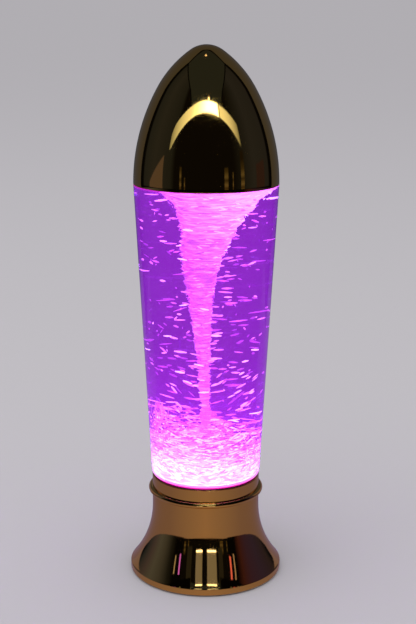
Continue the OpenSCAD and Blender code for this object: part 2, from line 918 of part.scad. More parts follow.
module motor_field_magnets() {
    outer = motor_r - can_wall - bond_clear;
    color(magnet)
        for (side = [0, 180])
            rotate([0, 0, side + quarter - field_angle / 2])
                rotate_extrude(angle = field_angle)
                    translate([outer - field_t, z_armature]) square([field_t, z_armature_top - z_armature]);
}

module motor_end_cap() {
    color(black)
        difference() {
            union() {
                drum(motor_r, z_motor, end_cap_h);
                drum(motor_r - can_wall - bond_clear, z_can, end_cap_spigot);
            }
            drum(shaft_r + run_clear, z_motor + end_cap_h / 2, motor_h);
        }
}

module motor_screws() {
    color(steel)
        for (sx = [-1, 1])
            translate([sx * motor_screw_x, 0, 0]) screw(motor_screw, z_deck_top, deck_t + can_face);
}

module deck_plate() {
    color(black)
        difference() {
            union() {
                drum(deck_r, z_deck, deck_t);
                round_about(led_post_reach, led_post_angles) drum(led_post_r, z_deck_top, led_post_h);
            }
            drum(motor_boss_r + bond_clear, z_deck - over, deck_t + 2 * over);
            for (sx = [-1, 1])
                translate([sx * motor_screw_x, 0, 0])
                    drum(motor_screw[0] + bond_clear, z_deck - over, deck_t + 2 * over);
            at_pillars() drum(deck_screw[0] + bond_clear, z_deck - over, deck_t + 2 * over);
            round_about(led_post_reach, led_post_angles)
                drum(led_screw[0] + run_clear, z_deck + deck_t / 2, deck_t + led_post_h);
            translate([lead_x, led_lead_y, 0]) drum(lead_hole_r, z_deck - over, deck_t + 2 * over);
        }
}

module deck_screws() {
    color(steel) at_pillars() screw(deck_screw, z_deck_top, screw_bite);
}

// Underside and battery

module bottom_cover() {
    lip_x = bay_x + door_ledge + door_clear;
    lip_y = bay_y + door_ledge + door_clear;
    color(black)
        difference() {
            union() {
                drum(cover_r, z_cover, cover_t);
                block(-bay_x - bay_wall, bay_x + bay_wall, -bay_y - bay_wall, bay_y + bay_wall,
                      z_cover_top, z_bay_top);
                at_pillars() drum(pillar_r, z_cover_top, z_deck - z_cover_top);
                for (sx = [-1, 1])
                    translate([sx * board_post_x, board_post_y, 0])
                        drum(board_post_r, z_cover_top, z_board - z_cover_top);
            }
            block(-bay_x, bay_x, -bay_y, bay_y, z_cover - over, z_bay);
            block(-lip_x, lip_x, -lip_y, lip_y, z_cover - over, z_cover + door_t + bond_clear);
            at_pillars() drum(deck_screw[0] + run_clear, z_deck - screw_bite, screw_bite + over);
            round_about(cover_screw_reach, [for (i = [0 : feet - 1]) diagonal + i * quarter]) {
                drum(cover_screw[0] + bond_clear, z_cover - over, cover_t + 2 * over);
                drum(cover_screw[1] + bond_clear, z_cover - over, cover_screw[2] + over);
            }
            round_about(foot_reach, [for (i = [0 : feet - 1]) i * quarter])
                drum(foot_d / 2 + bond_clear, z_cover - over, foot_recess + over);
        }
}

module cover_screws() {
    color(steel)
        round_about(cover_screw_reach, [for (i = [0 : feet - 1]) diagonal + i * quarter])
            translate([0, 0, z_cover + cover_screw[2]])
                rotate([180, 0, 0])
                    screw(cover_screw, 0, cover_screw_bite);
}

module rubber_feet() {
    color(rubber)
        round_about(foot_reach, [for (i = [0 : feet - 1]) i * quarter])
            drum(foot_d / 2, 0, z_cover + foot_recess);
}

module battery_cells() {
    color("#4a6fa5")
        for (i = [0 : cell_count - 1]) {
            facing = i % 2 == 0 ? 1 : -1;
            translate([0, (i - (cell_count - 1) / 2) * cell_pitch, z_cell])
                rotate([0, facing * quarter, 0])
                    union() {
                        drum(cell_r, -cell_len / 2, cell_len - nub_h);
                        drum(nub_r, cell_len / 2 - nub_h - nub_h / 2, nub_h + nub_h / 2);
                    }
        }
}

// A flat strip against the bay's end wall with a sprung V for each cell that it serves
module contact_strip(cells) {
    strip_y = (cells * cell_pitch - cell_gap) / 2 - contact_room;
    reach = contact_room - bond_clear - cell_gap / 2;
    union() {
        translate([0, -strip_y]) square([contact_t, 2 * strip_y]);
        for (i = [0 : cells - 1])
            translate([0, (i - (cells - 1) / 2) * cell_pitch])
                difference() {
                    polygon([[0, -nub_r - contact_t], [reach, 0], [0, nub_r + contact_t]]);
                    polygon([
                        [-over, -nub_r], [0, -nub_r], [reach - 2 * contact_t, 0], [0, nub_r], [-over, nub_r]
                    ]);
                }
    }
}

module battery_contacts() {
    strip_h = cell_r;
    color(steel)
        for (side = [-1, 1])
            translate([0, 0, z_cell - strip_h / 2])
                mirror([side > 0 ? 1 : 0, 0, 0])
                    translate([-bay_x + bond_clear, 0, 0])
                        linear_extrude(height = strip_h) {
                            translate([0, -side * cell_pitch]) contact_strip(1);
                            translate([0, side * cell_pitch / 2]) contact_strip(2);
                        }
}

module battery_door() {
    lip_x = bay_x + door_ledge;
    lip_y = bay_y + door_ledge;
    color(black)
        difference() {
            union() {
                block(-lip_x, lip_x, -lip_y, lip_y, z_cover, z_cover + door_t);
                block(-bay_x + door_clear, bay_x - door_clear, -bay_y + door_clear, bay_y - door_clear,
                      z_cover + door_t, z_cover_top);
            }
            translate([lip_x, 0, 0]) drum(door_notch_r, z_cover - over, door_notch_depth + over);
        }
}

// Back

module rear_panel() {
    color(black)
        difference() {
            intersection() {
                rotate_extrude() flare_section(0);
                block(-panel_x, panel_x, panel_back_y, rim_d, z_panel, z_panel_top);
            }
            block(-recess_x, recess_x, panel_y, rim_d, z_recess, z_recess_top);
            translate([button_x, 0, z_button])
                rotate([-quarter, 0, 0]) drum(button_r + door_clear, 0, rim_d);
            translate([inlet_x, 0, z_inlet])
                rotate([-quarter, 0, 0])
                    linear_extrude(height = panel_y + over) inlet_outline(bond_clear);
        }
}

module control_board() {
    color(green) block(-board_x, board_x, board_front_y, board_back_y, z_board, z_board_top);
}

// The inlet's mouth: a slot with round ends, grown by a gap
module inlet_outline(gap) {
    end_r = inlet_h / 2 + gap;
    straight = inlet_w - inlet_h;
    union() {
        translate([-straight / 2, -end_r]) square([straight, 2 * end_r]);
        for (sx = [-1, 1]) translate([sx * straight / 2, 0]) circle(r = end_r);
    }
}

module usb_inlet() {
    color(steel)
        translate([inlet_x, panel_y - inlet_depth, z_inlet])
            rotate([-quarter, 0, 0])
                union() {
                    difference() {
                        linear_extrude(height = inlet_depth) inlet_outline(0);
                        translate([0, 0, inlet_back])
                            linear_extrude(height = inlet_depth) inlet_outline(-inlet_wall);
                    }
                    block(-tongue_w / 2, tongue_w / 2, -tongue_t / 2, tongue_t / 2,
                          inlet_back / 2, inlet_depth - tongue_back);
                }
}

module power_switch() {
    color(black)
        difference() {
            block(button_x - switch_w / 2, button_x + switch_w / 2, switch_y - switch_depth, switch_y,
                  z_board_top, 2 * z_button - z_board_top);
            translate([button_x, switch_y + over, z_button])
                rotate([quarter, 0, 0])
                    drum(stem_r + door_clear, 0, stem_len + over);
        }
}

module power_button() {
    color(gold)
        translate([button_x, button_back_y, z_button])
            rotate([-quarter, 0, 0])
                union() {
                    drum(stem_r, -stem_len, stem_len + button_flange_t);
                    drum(button_flange_r, 0, button_flange_t);
                    drum(button_r, 0, panel_y + button_proud - button_back_y);
                }
}

// Wires

module motor_leads() {
    color("#b03030") lead_pair(lead_x, motor_r + bond_clear, z_motor_lead, motor_route);
}

module led_leads() {
    color("#d0d0d0") lead_pair(lead_x, led_lead_y, z_led_board - bond_clear, led_route);
}

module battery_leads() {
    color("#303030") lead_pair(battery_lead_x, bay_y + bay_wall + bond_clear, battery_lead_z, battery_route);
}

cap_shell();
vessel();
vessel_lid();
lid_seal();
fill_plug();
fill_plug_seal();
liquid();
vortex();
glitter_cloud();
impeller();
impeller_magnets();
pivot_pin();
thrust_washer();
pin_retainer();
collar();
collar_gasket();
trim_bead();
base_shell();
base_insert();
light_window();
led_board();
leds();
led_screws();
magnet_carrier();
drive_magnets();
motor_shaft();
motor_armature();
motor_can();
motor_field_magnets();
motor_end_cap();
motor_screws();
deck_plate();
deck_screws();
bottom_cover();
cover_screws();
rubber_feet();
battery_cells();
battery_contacts();
battery_door();
rear_panel();
control_board();
usb_inlet();
power_switch();
power_button();
motor_leads();
led_leads();
battery_leads();
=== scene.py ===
"""Tornado lamp: mirror-gold cap and base, and a clear vessel of lit violet liquid with a glitter funnel."""

import json
import math
import random

import bmesh
import bpy
from mathutils import Matrix, Vector, noise


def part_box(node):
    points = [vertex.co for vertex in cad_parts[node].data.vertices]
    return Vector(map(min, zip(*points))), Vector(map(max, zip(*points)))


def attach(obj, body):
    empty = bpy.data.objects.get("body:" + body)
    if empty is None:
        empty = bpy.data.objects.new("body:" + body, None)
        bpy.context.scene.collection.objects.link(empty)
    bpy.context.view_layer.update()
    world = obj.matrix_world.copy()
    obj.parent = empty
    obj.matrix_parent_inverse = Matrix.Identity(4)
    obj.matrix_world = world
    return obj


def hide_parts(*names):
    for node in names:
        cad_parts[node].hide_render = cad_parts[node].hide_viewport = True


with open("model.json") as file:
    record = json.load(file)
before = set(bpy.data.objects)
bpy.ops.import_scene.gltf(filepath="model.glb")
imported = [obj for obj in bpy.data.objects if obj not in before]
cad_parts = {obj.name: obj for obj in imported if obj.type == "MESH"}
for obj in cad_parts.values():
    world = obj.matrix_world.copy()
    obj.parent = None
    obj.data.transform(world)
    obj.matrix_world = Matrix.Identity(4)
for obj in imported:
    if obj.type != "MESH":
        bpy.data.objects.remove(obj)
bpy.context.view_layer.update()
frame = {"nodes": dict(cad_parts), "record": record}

MM = 0.001

# Camera, fitted to the outline of the lamp at its real size
CAMERA_AT = Vector((1.32, -820.3, 380.45)) * MM
CAMERA_DOWN = math.radians(13.594)
CAMERA_ROLL = math.radians(0.145)
CAMERA_LENS = 72.75

# Heights and radii read from the frame
cap_low, cap_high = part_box("cap_shell")
vessel_low, vessel_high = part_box("vessel")
_, collar_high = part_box("collar")
bead_low, bead_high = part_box("trim_bead")
shell_low, shell_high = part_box("base_shell")
funnel_low, funnel_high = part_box("vortex")
panel_low, panel_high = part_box("rear_panel")
CAP_Z, TIP_Z, TOP_R = cap_low.z, cap_high.z, cap_high.x
WELL_Z, MOUTH_Z = vessel_low.z, vessel_high.z
COLLAR_Z, NECK_R = collar_high.z, collar_high.x
BEAD_Z, BEAD_TOP_Z, BEAD_R = bead_low.z, bead_high.z, bead_high.x
RIM_Z, NECK_Z, RIM_R = shell_low.z, shell_high.z, shell_high.x
FUNNEL_Z, FILL_Z, FUNNEL_R = funnel_low.z, funnel_high.z, funnel_high.x

# Sizes that the boxes don't give, the same as in the part's source
NOSE_R = 18 * MM
CAP_SHOULDER_R = 72 * MM
CAP_FULLNESS = 10 * MM
CAP_WALL = 1.2 * MM
CAP_GAP = 0.3 * MM
SHELL_WALL = 1.2 * MM
LIP_H = 4.2 * MM
NECK_H = 9.5 * MM
SPIGOT_GAP = 0.3 * MM
COLLAR_WALL = 2.4 * MM
GASKET_T = 0.6 * MM
OVERHANG = 0.2 * MM
VESSEL_WALL = 1.8 * MM
FOOT_ROUND = 2.5 * MM
FLOOR_T = 2.6 * MM
SHOULDER_T = 1.4 * MM
LID_T = 2.5 * MM
BOND_GAP = 0.1 * MM
FUNNEL_CORE = 1.5 * MM
FUNNEL_DECAY = 38 * MM
SHEATH_T = 1.2 * MM

# Sizes of this model alone: rounded edges, and how far the vessel gives into its gasket and the liquid
# reaches into the wall that it wets
LIP_ROUND = 0.5 * MM
RIM_EDGE = 0.5 * MM
COLLAR_EDGE = 0.4 * MM
STEP_ROUND = 1 * MM
FOOT_SINK = 0.3 * MM
WETTING = 0.05 * MM

# Sizes that follow from these
SEAT_Z = COLLAR_Z + GASKET_T
FOOT_Z = SEAT_Z - FOOT_SINK
STEP_Z = SEAT_Z + VESSEL_WALL
SPIGOT_R = NECK_R - SHELL_WALL - SPIGOT_GAP
WELL_R = SPIGOT_R - COLLAR_WALL - BOND_GAP
FOOT_R = NECK_R + OVERHANG
TAPER = (TOP_R - FOOT_R) / (CAP_Z - SEAT_Z)
SLANT = math.sqrt(1 + TAPER ** 2)
CAP_RISE = TIP_Z - CAP_Z - NOSE_R
FLANK_R = (TOP_R ** 2 + CAP_RISE ** 2 - NOSE_R ** 2) / (2 * (TOP_R - NOSE_R)) + CAP_FULLNESS
# The vessel's mouth is tied to the inside of the cap at the lid's top
LID_RISE = MOUTH_Z + LID_T - CAP_Z
MOUTH_R = TOP_R - FLANK_R + math.sqrt((FLANK_R - CAP_WALL) ** 2 - LID_RISE ** 2) - CAP_GAP

# How fine the meshes are
LATHE_STEPS = 160
BASE_STEPS = 192
FUNNEL_STEPS = 72
DRAPE_STEPS = 96
MERGE = 0.001 * MM
BRACE = 0.4 * MM
LONG_STRAIGHT = 5 * BRACE
SHARP_ANGLE = 35
ALL_SMOOTH = 180


# Shapes

def arc(across, up, radius, start, end, count):
    """Points of (radius, height) on an arc in a count of steps, its angles in degrees from straight out."""
    turns = [math.radians(start + (end - start) * i / count) for i in range(count + 1)]
    return [(across + radius * math.cos(t), up + radius * math.sin(t)) for t in turns]


def make_piece(name, shape, sharp=SHARP_ANGLE):
    """An object at the origin from a bmesh, shaded smooth up to an angle in degrees."""
    mesh = bpy.data.meshes.new(name)
    shape.to_mesh(mesh)
    shape.free()
    mesh.shade_smooth()
    mesh.set_sharp_from_angle(angle=math.radians(sharp))
    piece = bpy.data.objects.new(name, mesh)
    bpy.context.scene.collection.objects.link(piece)
    return piece


def braced(outline):
    """Adds points close to both ends of each long straight, so that roundings don't tilt its shading."""
    points = [outline[0]]
    for start, end in zip(outline, outline[1:]):
        low, high = Vector(start), Vector(end)
        step = (high - low).normalized() * BRACE
        if (high - low).length > LONG_STRAIGHT:
            points += [tuple(low + step), tuple(high - step)]
        points.append(end)
    return points


def turned(outline, closed=False, steps=LATHE_STEPS):
    """A bmesh turned on the lamp's axis from an outline of (radius, height) points."""
    shape = bmesh.new()
    points = [shape.verts.new((radius, 0, height)) for radius, height in braced(outline)]
    ends = points[1:] + points[:1] if closed else points[1:]
    edges = [shape.edges.new(pair) for pair in zip(points, ends)]
    bmesh.ops.spin(shape, geom=points + edges, cent=(0, 0, 0), axis=(0, 0, 1), angle=2 * math.pi,
                   steps=steps, use_merge=True)
    bmesh.ops.remove_doubles(shape, verts=shape.verts, dist=MERGE)
    bmesh.ops.recalc_face_normals(shape, faces=shape.faces)
    return shape


def dress(piece, body, finish, slot, *nodes):
    """Gives a piece its finish, the body that it rides on and the solids that it stands for."""
    piece.data.materials.append(finish)
    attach(piece, body)
    if nodes:
        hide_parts(*nodes)


# Materials

def linear(colour):
    """An sRGB hex colour as linear red, green, blue and full alpha."""
    parts = [int(colour[i:i + 2], 16) / 255 for i in (0, 2, 4)]
    return tuple(c / 12.92 if c <= 0.04045 else ((c + 0.055) / 1.055) ** 2.4 for c in parts) + (1,)


def add(owner, kind, inputs=None, stops=(), **settings):
    """Adds one node with its settings, its inputs as values or other nodes' outputs, and a ramp's stops."""
    node = owner.node_tree.nodes.new("ShaderNode" + kind)
    for key, value in settings.items():
        setattr(node, key, value)
    for key, value in (inputs or {}).items():
        if isinstance(value, bpy.types.NodeSocket):
            owner.node_tree.links.new(value, node.inputs[key])
        else:
            node.inputs[key].default_value = value
    for i, (place, colour) in enumerate(stops):
        bands = node.color_ramp.elements
        band = bands[i] if i < len(bands) else bands.new(1)
        band.position = place
        band.color = linear(colour)
    return node


def new_finish(name, values):
    """A material with one Principled shader, whose sockets take plain values."""
    finish = bpy.data.materials.new(name)
    finish.use_nodes = True
    # A finish that glows shows its own light, but isn't sampled as a lamp
    finish.cycles.emission_sampling = "NONE"
    shader = finish.node_tree.nodes["Principled BSDF"]
    for key, value in values.items():
        shader.inputs[key].default_value = value
    return finish, shader


def plug(finish, shader, outputs):
    """Links other nodes' outputs to the shader's sockets by name."""
    for key, output in outputs.items():
        finish.node_tree.links.new(output, shader.inputs[key])


def gold_mirror():
    """Spun aluminium, bright-dipped and gold-anodised: a mirror with faint smudges and spinning lines."""
    finish, shader = new_finish("gold_anodised_aluminium_bright", {
        "Base Color": linear("d9ab5e"), "Metallic": 1.0, "Roughness": 0.05})
    spot = add(finish, "TexCoord").outputs["Object"]
    # Smudges about 25 mm across, from handling
    smudge = add(finish, "TexNoise", {"Vector": spot, "Scale": 40, "Detail": 4, "Roughness": 0.6})
    wear = add(finish, "MapRange", {"Value": smudge.outputs["Fac"], "From Min": 0.35, "From Max": 0.75,
                                    "To Min": 0.03, "To Max": 0.085})
    plug(finish, shader, {"Roughness": wear.outputs["Result"]})
    # Spinning lines 0.8 mm apart, coarser than real ones so that they show
    rows = add(finish, "Mapping", {"Vector": spot, "Scale": (12, 12, 1250)})
    lines = add(finish, "TexNoise", {"Vector": rows.outputs["Vector"], "Scale": 1, "Detail": 2})
    bump = add(finish, "Bump", {"Height": lines.outputs["Fac"], "Strength": 0.12, "Distance": 0.02 * MM})
    plug(finish, shader, {"Normal": bump.outputs["Normal"]})
    return finish


def clear_wall():
    """Blow-moulded acrylic, polished clear. The liquid's light, which runs in the wall and shows at its
    edges, is painted: a violet tint in the wall's reflections and its absorption, and glowing lines at its
    foot and under the cap.
    """
    # Painted reflection: the violet specular tint colours the wall's reflections, standing in for the
    # liquid's light at its edges
    finish, shader = new_finish("acrylic_clear_moulded", {
        "Roughness": 0.0, "IOR": 1.49, "Transmission Weight": 1.0, "Specular Tint": linear("b05ae0")})
    spot = add(finish, "TexCoord").outputs["Object"]
    # Slow waviness of the moulded wall, 30 mm across
    wave = add(finish, "TexNoise", {"Vector": spot, "Scale": 33, "Detail": 1})
    bump = add(finish, "Bump", {"Height": wave.outputs["Fac"], "Strength": 0.05, "Distance": 0.2 * MM})
    # Painted light: the rounded foot, which gathers the light, is given a glowing magenta line about 1 mm
    # high over a dark magenta tint in the wall, and a glowing white one over it
    height = add(finish, "SeparateXYZ", {"Vector": spot}).outputs["Z"]
    foot = add(finish, "MapRange", {"Value": height, "From Min": FOOT_Z, "From Max": SEAT_Z + 3 * MM})
    tint = add(finish, "ValToRGB", {"Fac": foot.outputs["Result"]}, [
        (0.0, "540024"), (0.41, "640030"), (0.5, "f6ecfd")])
    painted_glow_colour = add(finish, "ValToRGB", {"Fac": foot.outputs["Result"]}, [
        (0.0, "f020a8"), (0.43, "f020a8"), (0.51, "ffd8fa"), (0.97, "ffd8fa"), (1.0, "f020a8")])
    painted_foot_glow = add(finish, "MapRange", {"Value": foot.outputs["Result"], "From Min": 0.44, "From Max": 0.95,
                                   "To Min": 0.75, "To Max": 0.0})
    # Painted light: a thin glowing line under the cap's edge, where the funnel's light reaches the wall
    painted_brow_glow = add(finish, "MapRange", {"Value": height, "From Min": CAP_Z - 1.2 * MM,
                                    "From Max": CAP_Z - 0.3 * MM, "To Min": 0.0, "To Max": 0.3})
    lit = add(finish, "Math", {0: painted_foot_glow.outputs["Result"], 1: painted_brow_glow.outputs["Result"]}, operation="MAXIMUM")
    plug(finish, shader, {"Normal": bump.outputs["Normal"], "Base Color": tint.outputs["Color"],
                          "Emission Color": painted_glow_colour.outputs["Color"], "Emission Strength": lit.outputs["Value"]})
    # Painted light: the violet absorption in the wall stands in for the liquid's light seen along its edges
    body = add(finish, "VolumeAbsorption", {"Color": linear("c060f4"), "Density": 80})
    plug(finish, finish.node_tree.nodes["Material Output"], {"Volume": body.outputs["Volume"]})
    return finish


def glow_liquid():
    """Water that filters what is behind it violet, lit from below: its glow near its foot is painted light,
    an emission that stands in for the light from below.
    """
    finish, shader = new_finish("violet_water_painted_glow", {
        "Base Color": linear("9e3ccf"), "Roughness": 0.0, "IOR": 1.33, "Transmission Weight": 1.0})
    spot = add(finish, "TexCoord").outputs["Object"]
    place = add(finish, "SeparateXYZ", {"Vector": spot})
    # Streaks of fine glitter, 9 mm long and 1.3 mm high, shift the glow by up to 9 mm
    rows = add(finish, "Mapping", {"Vector": spot, "Scale": (110, 110, 770)})
    streaks = add(finish, "TexNoise", {"Vector": rows.outputs["Vector"], "Scale": 1, "Detail": 3})
    shift = add(finish, "MapRange", {"Value": streaks.outputs["Fac"], "From Min": 0.3, "From Max": 0.7,
                                     "To Min": -9 * MM, "To Max": 9 * MM})
    # The glow leans: it stands higher on the left
    lean = add(finish, "Math", {0: place.outputs["X"], 1: 0.16, 2: place.outputs["Z"]},
               operation="MULTIPLY_ADD")
    level = add(finish, "Math", {0: lean.outputs["Value"], 1: shift.outputs["Result"]}, operation="ADD")
    share = add(finish, "MapRange", {"Value": level.outputs["Value"], "From Min": SEAT_Z,
                                     "From Max": SEAT_Z + 90 * MM})
    tint = add(finish, "ValToRGB", {"Fac": share.outputs["Result"]}, [
        (0.0, "ffe2fc"), (0.12, "fcc4fa"), (0.2, "f9a4f6"), (0.33, "e05cf4"), (0.47, "c83af4"),
        (1.0, "c63cf0")])
    glow = add(finish, "ValToRGB", {"Fac": share.outputs["Result"]}, [
        (0.0, "f0f0f0"), (0.12, "dadada"), (0.2, "cccccc"), (0.33, "aaaaaa"), (0.47, "a0a0a0"),
        (0.61, "8c8c8c"), (1.0, "777777")])
    plug(finish, shader, {"Emission Color": tint.outputs["Color"],
                          "Emission Strength": glow.outputs["Color"]})
    return finish


def glitter_funnel():
    """The funnel's sheath: lit flakes so close that they read as pink brush strokes round the core, their
    light painted as emission.
    """
    finish, shader = new_finish("glitter_sheath_lit", {
        "Base Color": linear("d86adf"), "Roughness": 0.5})
    spot = add(finish, "TexCoord").outputs["Object"]
    # Strokes 11 mm long and 0.8 mm high
    rows = add(finish, "Mapping", {"Vector": spot, "Scale": (90, 90, 1250)})
    strokes = add(finish, "TexNoise", {"Vector": rows.outputs["Vector"], "Scale": 1, "Detail": 4,
                                       "Roughness": 0.65})
    # Painted light: the strokes glow whiter towards the mouth and on the right
    place = add(finish, "SeparateXYZ", {"Vector": spot})
    painted_glow_boost = add(finish, "MapRange", {"Value": place.outputs["Z"], "From Min": FILL_Z - 55 * MM,
                                     "From Max": FILL_Z, "To Min": 0.0, "To Max": 0.2})
    side = add(finish, "MapRange", {"Value": place.outputs["X"], "From Min": -30 * MM, "From Max": 30 * MM,
                                    "To Min": -0.15, "To Max": 0.2})
    mixed = add(finish, "Math", {0: strokes.outputs["Fac"], 1: painted_glow_boost.outputs["Result"]}, operation="ADD")
    mixed = add(finish, "Math", {0: mixed.outputs["Value"], 1: side.outputs["Result"]}, operation="ADD")
    tint = add(finish, "ValToRGB", {"Fac": mixed.outputs["Value"]}, [
        (0.36, "cf78dc"), (0.5, "eea4ea"), (0.62, "ffccf4"), (0.8, "fffaff")])
    level = add(finish, "MapRange", {"Value": mixed.outputs["Value"], "From Min": 0.55, "From Max": 0.9,
                                     "To Min": 1.5, "To Max": 3.6})
    plug(finish, shader, {"Emission Color": tint.outputs["Color"],
                          "Emission Strength": level.outputs["Result"]})
    return finish


def glitter_flakes():
    """Metallised film flakes in the light: each has its own painted brightness, shown as emission, from dim
    violet to a white glint.
    """
    finish, shader = new_finish("glitter_flakes_lit", {
        "Base Color": linear("e6b4ee"), "Metallic": 0.3, "Roughness": 0.5})
    glow = add(finish, "Attribute", attribute_name="glow").outputs["Fac"]
    tint = add(finish, "ValToRGB", {"Fac": glow}, [
        (0.0, "cc6cf0"), (0.35, "f28cf2"), (0.65, "ffc4f8"), (0.9, "ffffff"), (1.0, "c8f6ff")])
    power = add(finish, "Math", {0: glow, 1: 2.6}, operation="POWER")
    level = add(finish, "MapRange", {"Value": power.outputs["Value"], "To Min": 0.9, "To Max": 4.8})
    plug(finish, shader, {"Emission Color": tint.outputs["Color"],
                          "Emission Strength": level.outputs["Result"]})
    return finish


def moulded(name, colour, rough, grain_mm, depth_mm):
    """Moulded plastic or rubber with a spark-eroded grain of the size given."""
    finish, shader = new_finish(name, {"Base Color": linear(colour), "Roughness": rough})
    spot = add(finish, "TexCoord").outputs["Object"]
    grain = add(finish, "TexNoise", {"Vector": spot, "Scale": 1 / (grain_mm * MM), "Detail": 2})
    bump = add(finish, "Bump", {"Height": grain.outputs["Fac"], "Strength": 0.4, "Distance": depth_mm * MM})
    plug(finish, shader, {"Normal": bump.outputs["Normal"]})
    wear = add(finish, "MapRange", {"Value": grain.outputs["Fac"], "To Min": rough - 0.08,
                                    "To Max": rough + 0.08})
    plug(finish, shader, {"Roughness": wear.outputs["Result"]})
    return finish


def metal(name, colour, rough, line_mm):
    """Drawn or plated metal with fine lines across its height, as far apart as given."""
    finish, shader = new_finish(name, {"Base Color": linear(colour), "Metallic": 1.0, "Roughness": rough})
    spot = add(finish, "TexCoord").outputs["Object"]
    rows = add(finish, "Mapping", {"Vector": spot, "Scale": (60, 60, 1 / (line_mm * MM))})
    lines = add(finish, "TexNoise", {"Vector": rows.outputs["Vector"], "Scale": 1, "Detail": 2})
    wear = add(finish, "MapRange", {"Value": lines.outputs["Fac"], "To Min": rough - 0.06,
                                    "To Max": rough + 0.1})
    plug(finish, shader, {"Roughness": wear.outputs["Result"]})
    return finish


def striped(name, dark, light, rough, metallic, wave_mm, axis):
    """Windings, tracks or a shrunk sleeve: bands of two colours across one axis, coarse enough to show."""
    finish, shader = new_finish(name, {"Roughness": rough, "Metallic": metallic})
    spot = add(finish, "TexCoord").outputs["Object"]
    # At a scale of 1, one unit holds 20 radians of the wave, so bands repeat every 2 pi times the size given
    bands = add(finish, "TexWave", {"Vector": spot, "Scale": 1 / (wave_mm * MM) / 20, "Distortion": 1.5,
                                    "Detail": 1}, bands_direction=axis)
    tint = add(finish, "ValToRGB", {"Fac": bands.outputs["Fac"]}, [(0.35, dark), (0.65, light)])
    plug(finish, shader, {"Base Color": tint.outputs["Color"]})
    return finish


def lit_grain(name, colour, rough, level, scale, detail, stops):
    """A piece over the diodes, evenly lit, with a grain in its light."""
    finish, shader = new_finish(name, {
        "Base Color": linear(colour), "Roughness": rough, "Emission Strength": level})
    spot = add(finish, "TexCoord").outputs["Object"]
    grain = add(finish, "TexNoise", {"Vector": spot, "Scale": scale, "Detail": detail})
    tint = add(finish, "ValToRGB", {"Fac": grain.outputs["Fac"]}, stops)
    plug(finish, shader, {"Emission Color": tint.outputs["Color"]})
    return finish


def lit_lens():
    """Silicone domes of the diodes: brightest in the middle of each grain of phosphor, 1.1 mm across."""
    return lit_grain("diode_lens_lit", "fbe6ff", 0.3, 1.4, 900, 1, [(0.3, "e79cff"), (0.7, "ffe4ff")])


def lit_window():
    """Frosted acrylic over the diodes, with a fine blasted grain, 0.7 mm across."""
    stops = [(0.35, "d070ee"), (0.65, "f0a8fa")]
    return lit_grain("acrylic_frosted_lit", "ead2f4", 0.45, 0.7, 1430, 2, stops)


# By the record's slots. Moulded: colour, roughness, and a grain's size and depth in mm. Metal: colour,
# roughness and the lines' spacing in mm. Striped: two colours, roughness, metallic, the wave in mm, its axis
FINISHES = {
    "gold_mirror": gold_mirror(),
    "clear_wall": clear_wall(),
    "glow_liquid": glow_liquid(),
    "glitter_funnel": glitter_funnel(),
    "white_plastic": moulded("abs_white_moulded", "e9e7e4", 0.4, 0.5, 0.02),
    "black_plastic": moulded("abs_black_moulded", "1f1f22", 0.5, 0.5, 0.04),
    "black_rubber": moulded("silicone_rubber_black", "17171a", 0.72, 0.8, 0.03),
    "bright_steel": metal("steel_nickel_plated", "c9ccd1", 0.24, 0.4),
    "magnet_grey": metal("magnet_nickel_plated", "8d9098", 0.3, 0.6),
    "copper_winding": striped("copper_wire_enamelled", "7a3d16", "c9773a", 0.35, 1.0, 0.6, "Z"),
    "circuit_board": striped("glass_epoxy_green_mask", "1d5636", "2f7d50", 0.35, 0.0, 1.2, "X"),
    "led_lens": lit_lens(),
    "cell_jacket": striped("cell_sleeve_shrunk", "33568a", "4a74ad", 0.3, 0.0, 9.0, "X"),
    "wire_red": moulded("pvc_wire_red", "a52a2a", 0.45, 0.6, 0.02),
    "wire_white": moulded("pvc_wire_white", "d6d4cf", 0.45, 0.6, 0.02),
    "wire_black": moulded("pvc_wire_black", "222226", 0.45, 0.6, 0.02),
}
FLAKES = glitter_flakes()

for row in frame["record"]["subparts"]:
    solid = frame["nodes"][row["node"]].data
    solid.materials.clear()
    solid.materials.append(FINISHES[row["material_slot"]])
# The window over the diodes is acrylic as the vessel is, but frosted
frame["nodes"]["light_window"].data.materials[0] = lit_window()


# Gold pieces

# How far in front of the back panel the shell's faces are cut for its window
CUT_ZONE = 4 * MM


def cap_shoulder():
    """Middle of the arc that touches both the flank's arc and the nose's."""
    flank, nose = Vector((TOP_R - FLANK_R, 0)), Vector((0, CAP_RISE))
    span = nose - flank
    flank_reach, nose_reach = FLANK_R - CAP_SHOULDER_R, CAP_SHOULDER_R - NOSE_R
    along = (flank_reach ** 2 - nose_reach ** 2 + span.length_squared) / (2 * span.length)
    aside = math.sqrt(flank_reach ** 2 - along ** 2)
    way = span.normalized()
    return flank + way * along + Vector((way.y, -way.x)) * aside


def ogive(inset, low):
    """The cap's outline from its edge to its tip, set in by a wall: flank, shoulder and nose."""
    middle = cap_shoulder()
    start = math.degrees(math.asin(low / (FLANK_R - inset)))
    meet = math.degrees(math.atan2(middle.y, middle.x - TOP_R + FLANK_R))
    turn = math.degrees(math.atan2(CAP_RISE - middle.y, -middle.x))
    outline = arc(TOP_R - FLANK_R, CAP_Z, FLANK_R - inset, start, meet, 32)
    outline += arc(middle.x, CAP_Z + middle.y, CAP_SHOULDER_R - inset, meet, turn, 24)[1:]
    outline += arc(0, CAP_Z + CAP_RISE, NOSE_R - inset, turn, 90, 24)[1:-1]
    return outline + [(0, TIP_Z - inset)]


def make_cap():
    """The pointed cap, hollow, with a rolled edge."""
    roll = CAP_WALL / 2
    edge = arc(TOP_R - roll, CAP_Z + roll, roll, 180, 360, 8)
    outline = ogive(CAP_WALL, roll)[::-1] + edge[1:-1] + ogive(0, roll)
    return make_piece("cap_polished", turned(outline))


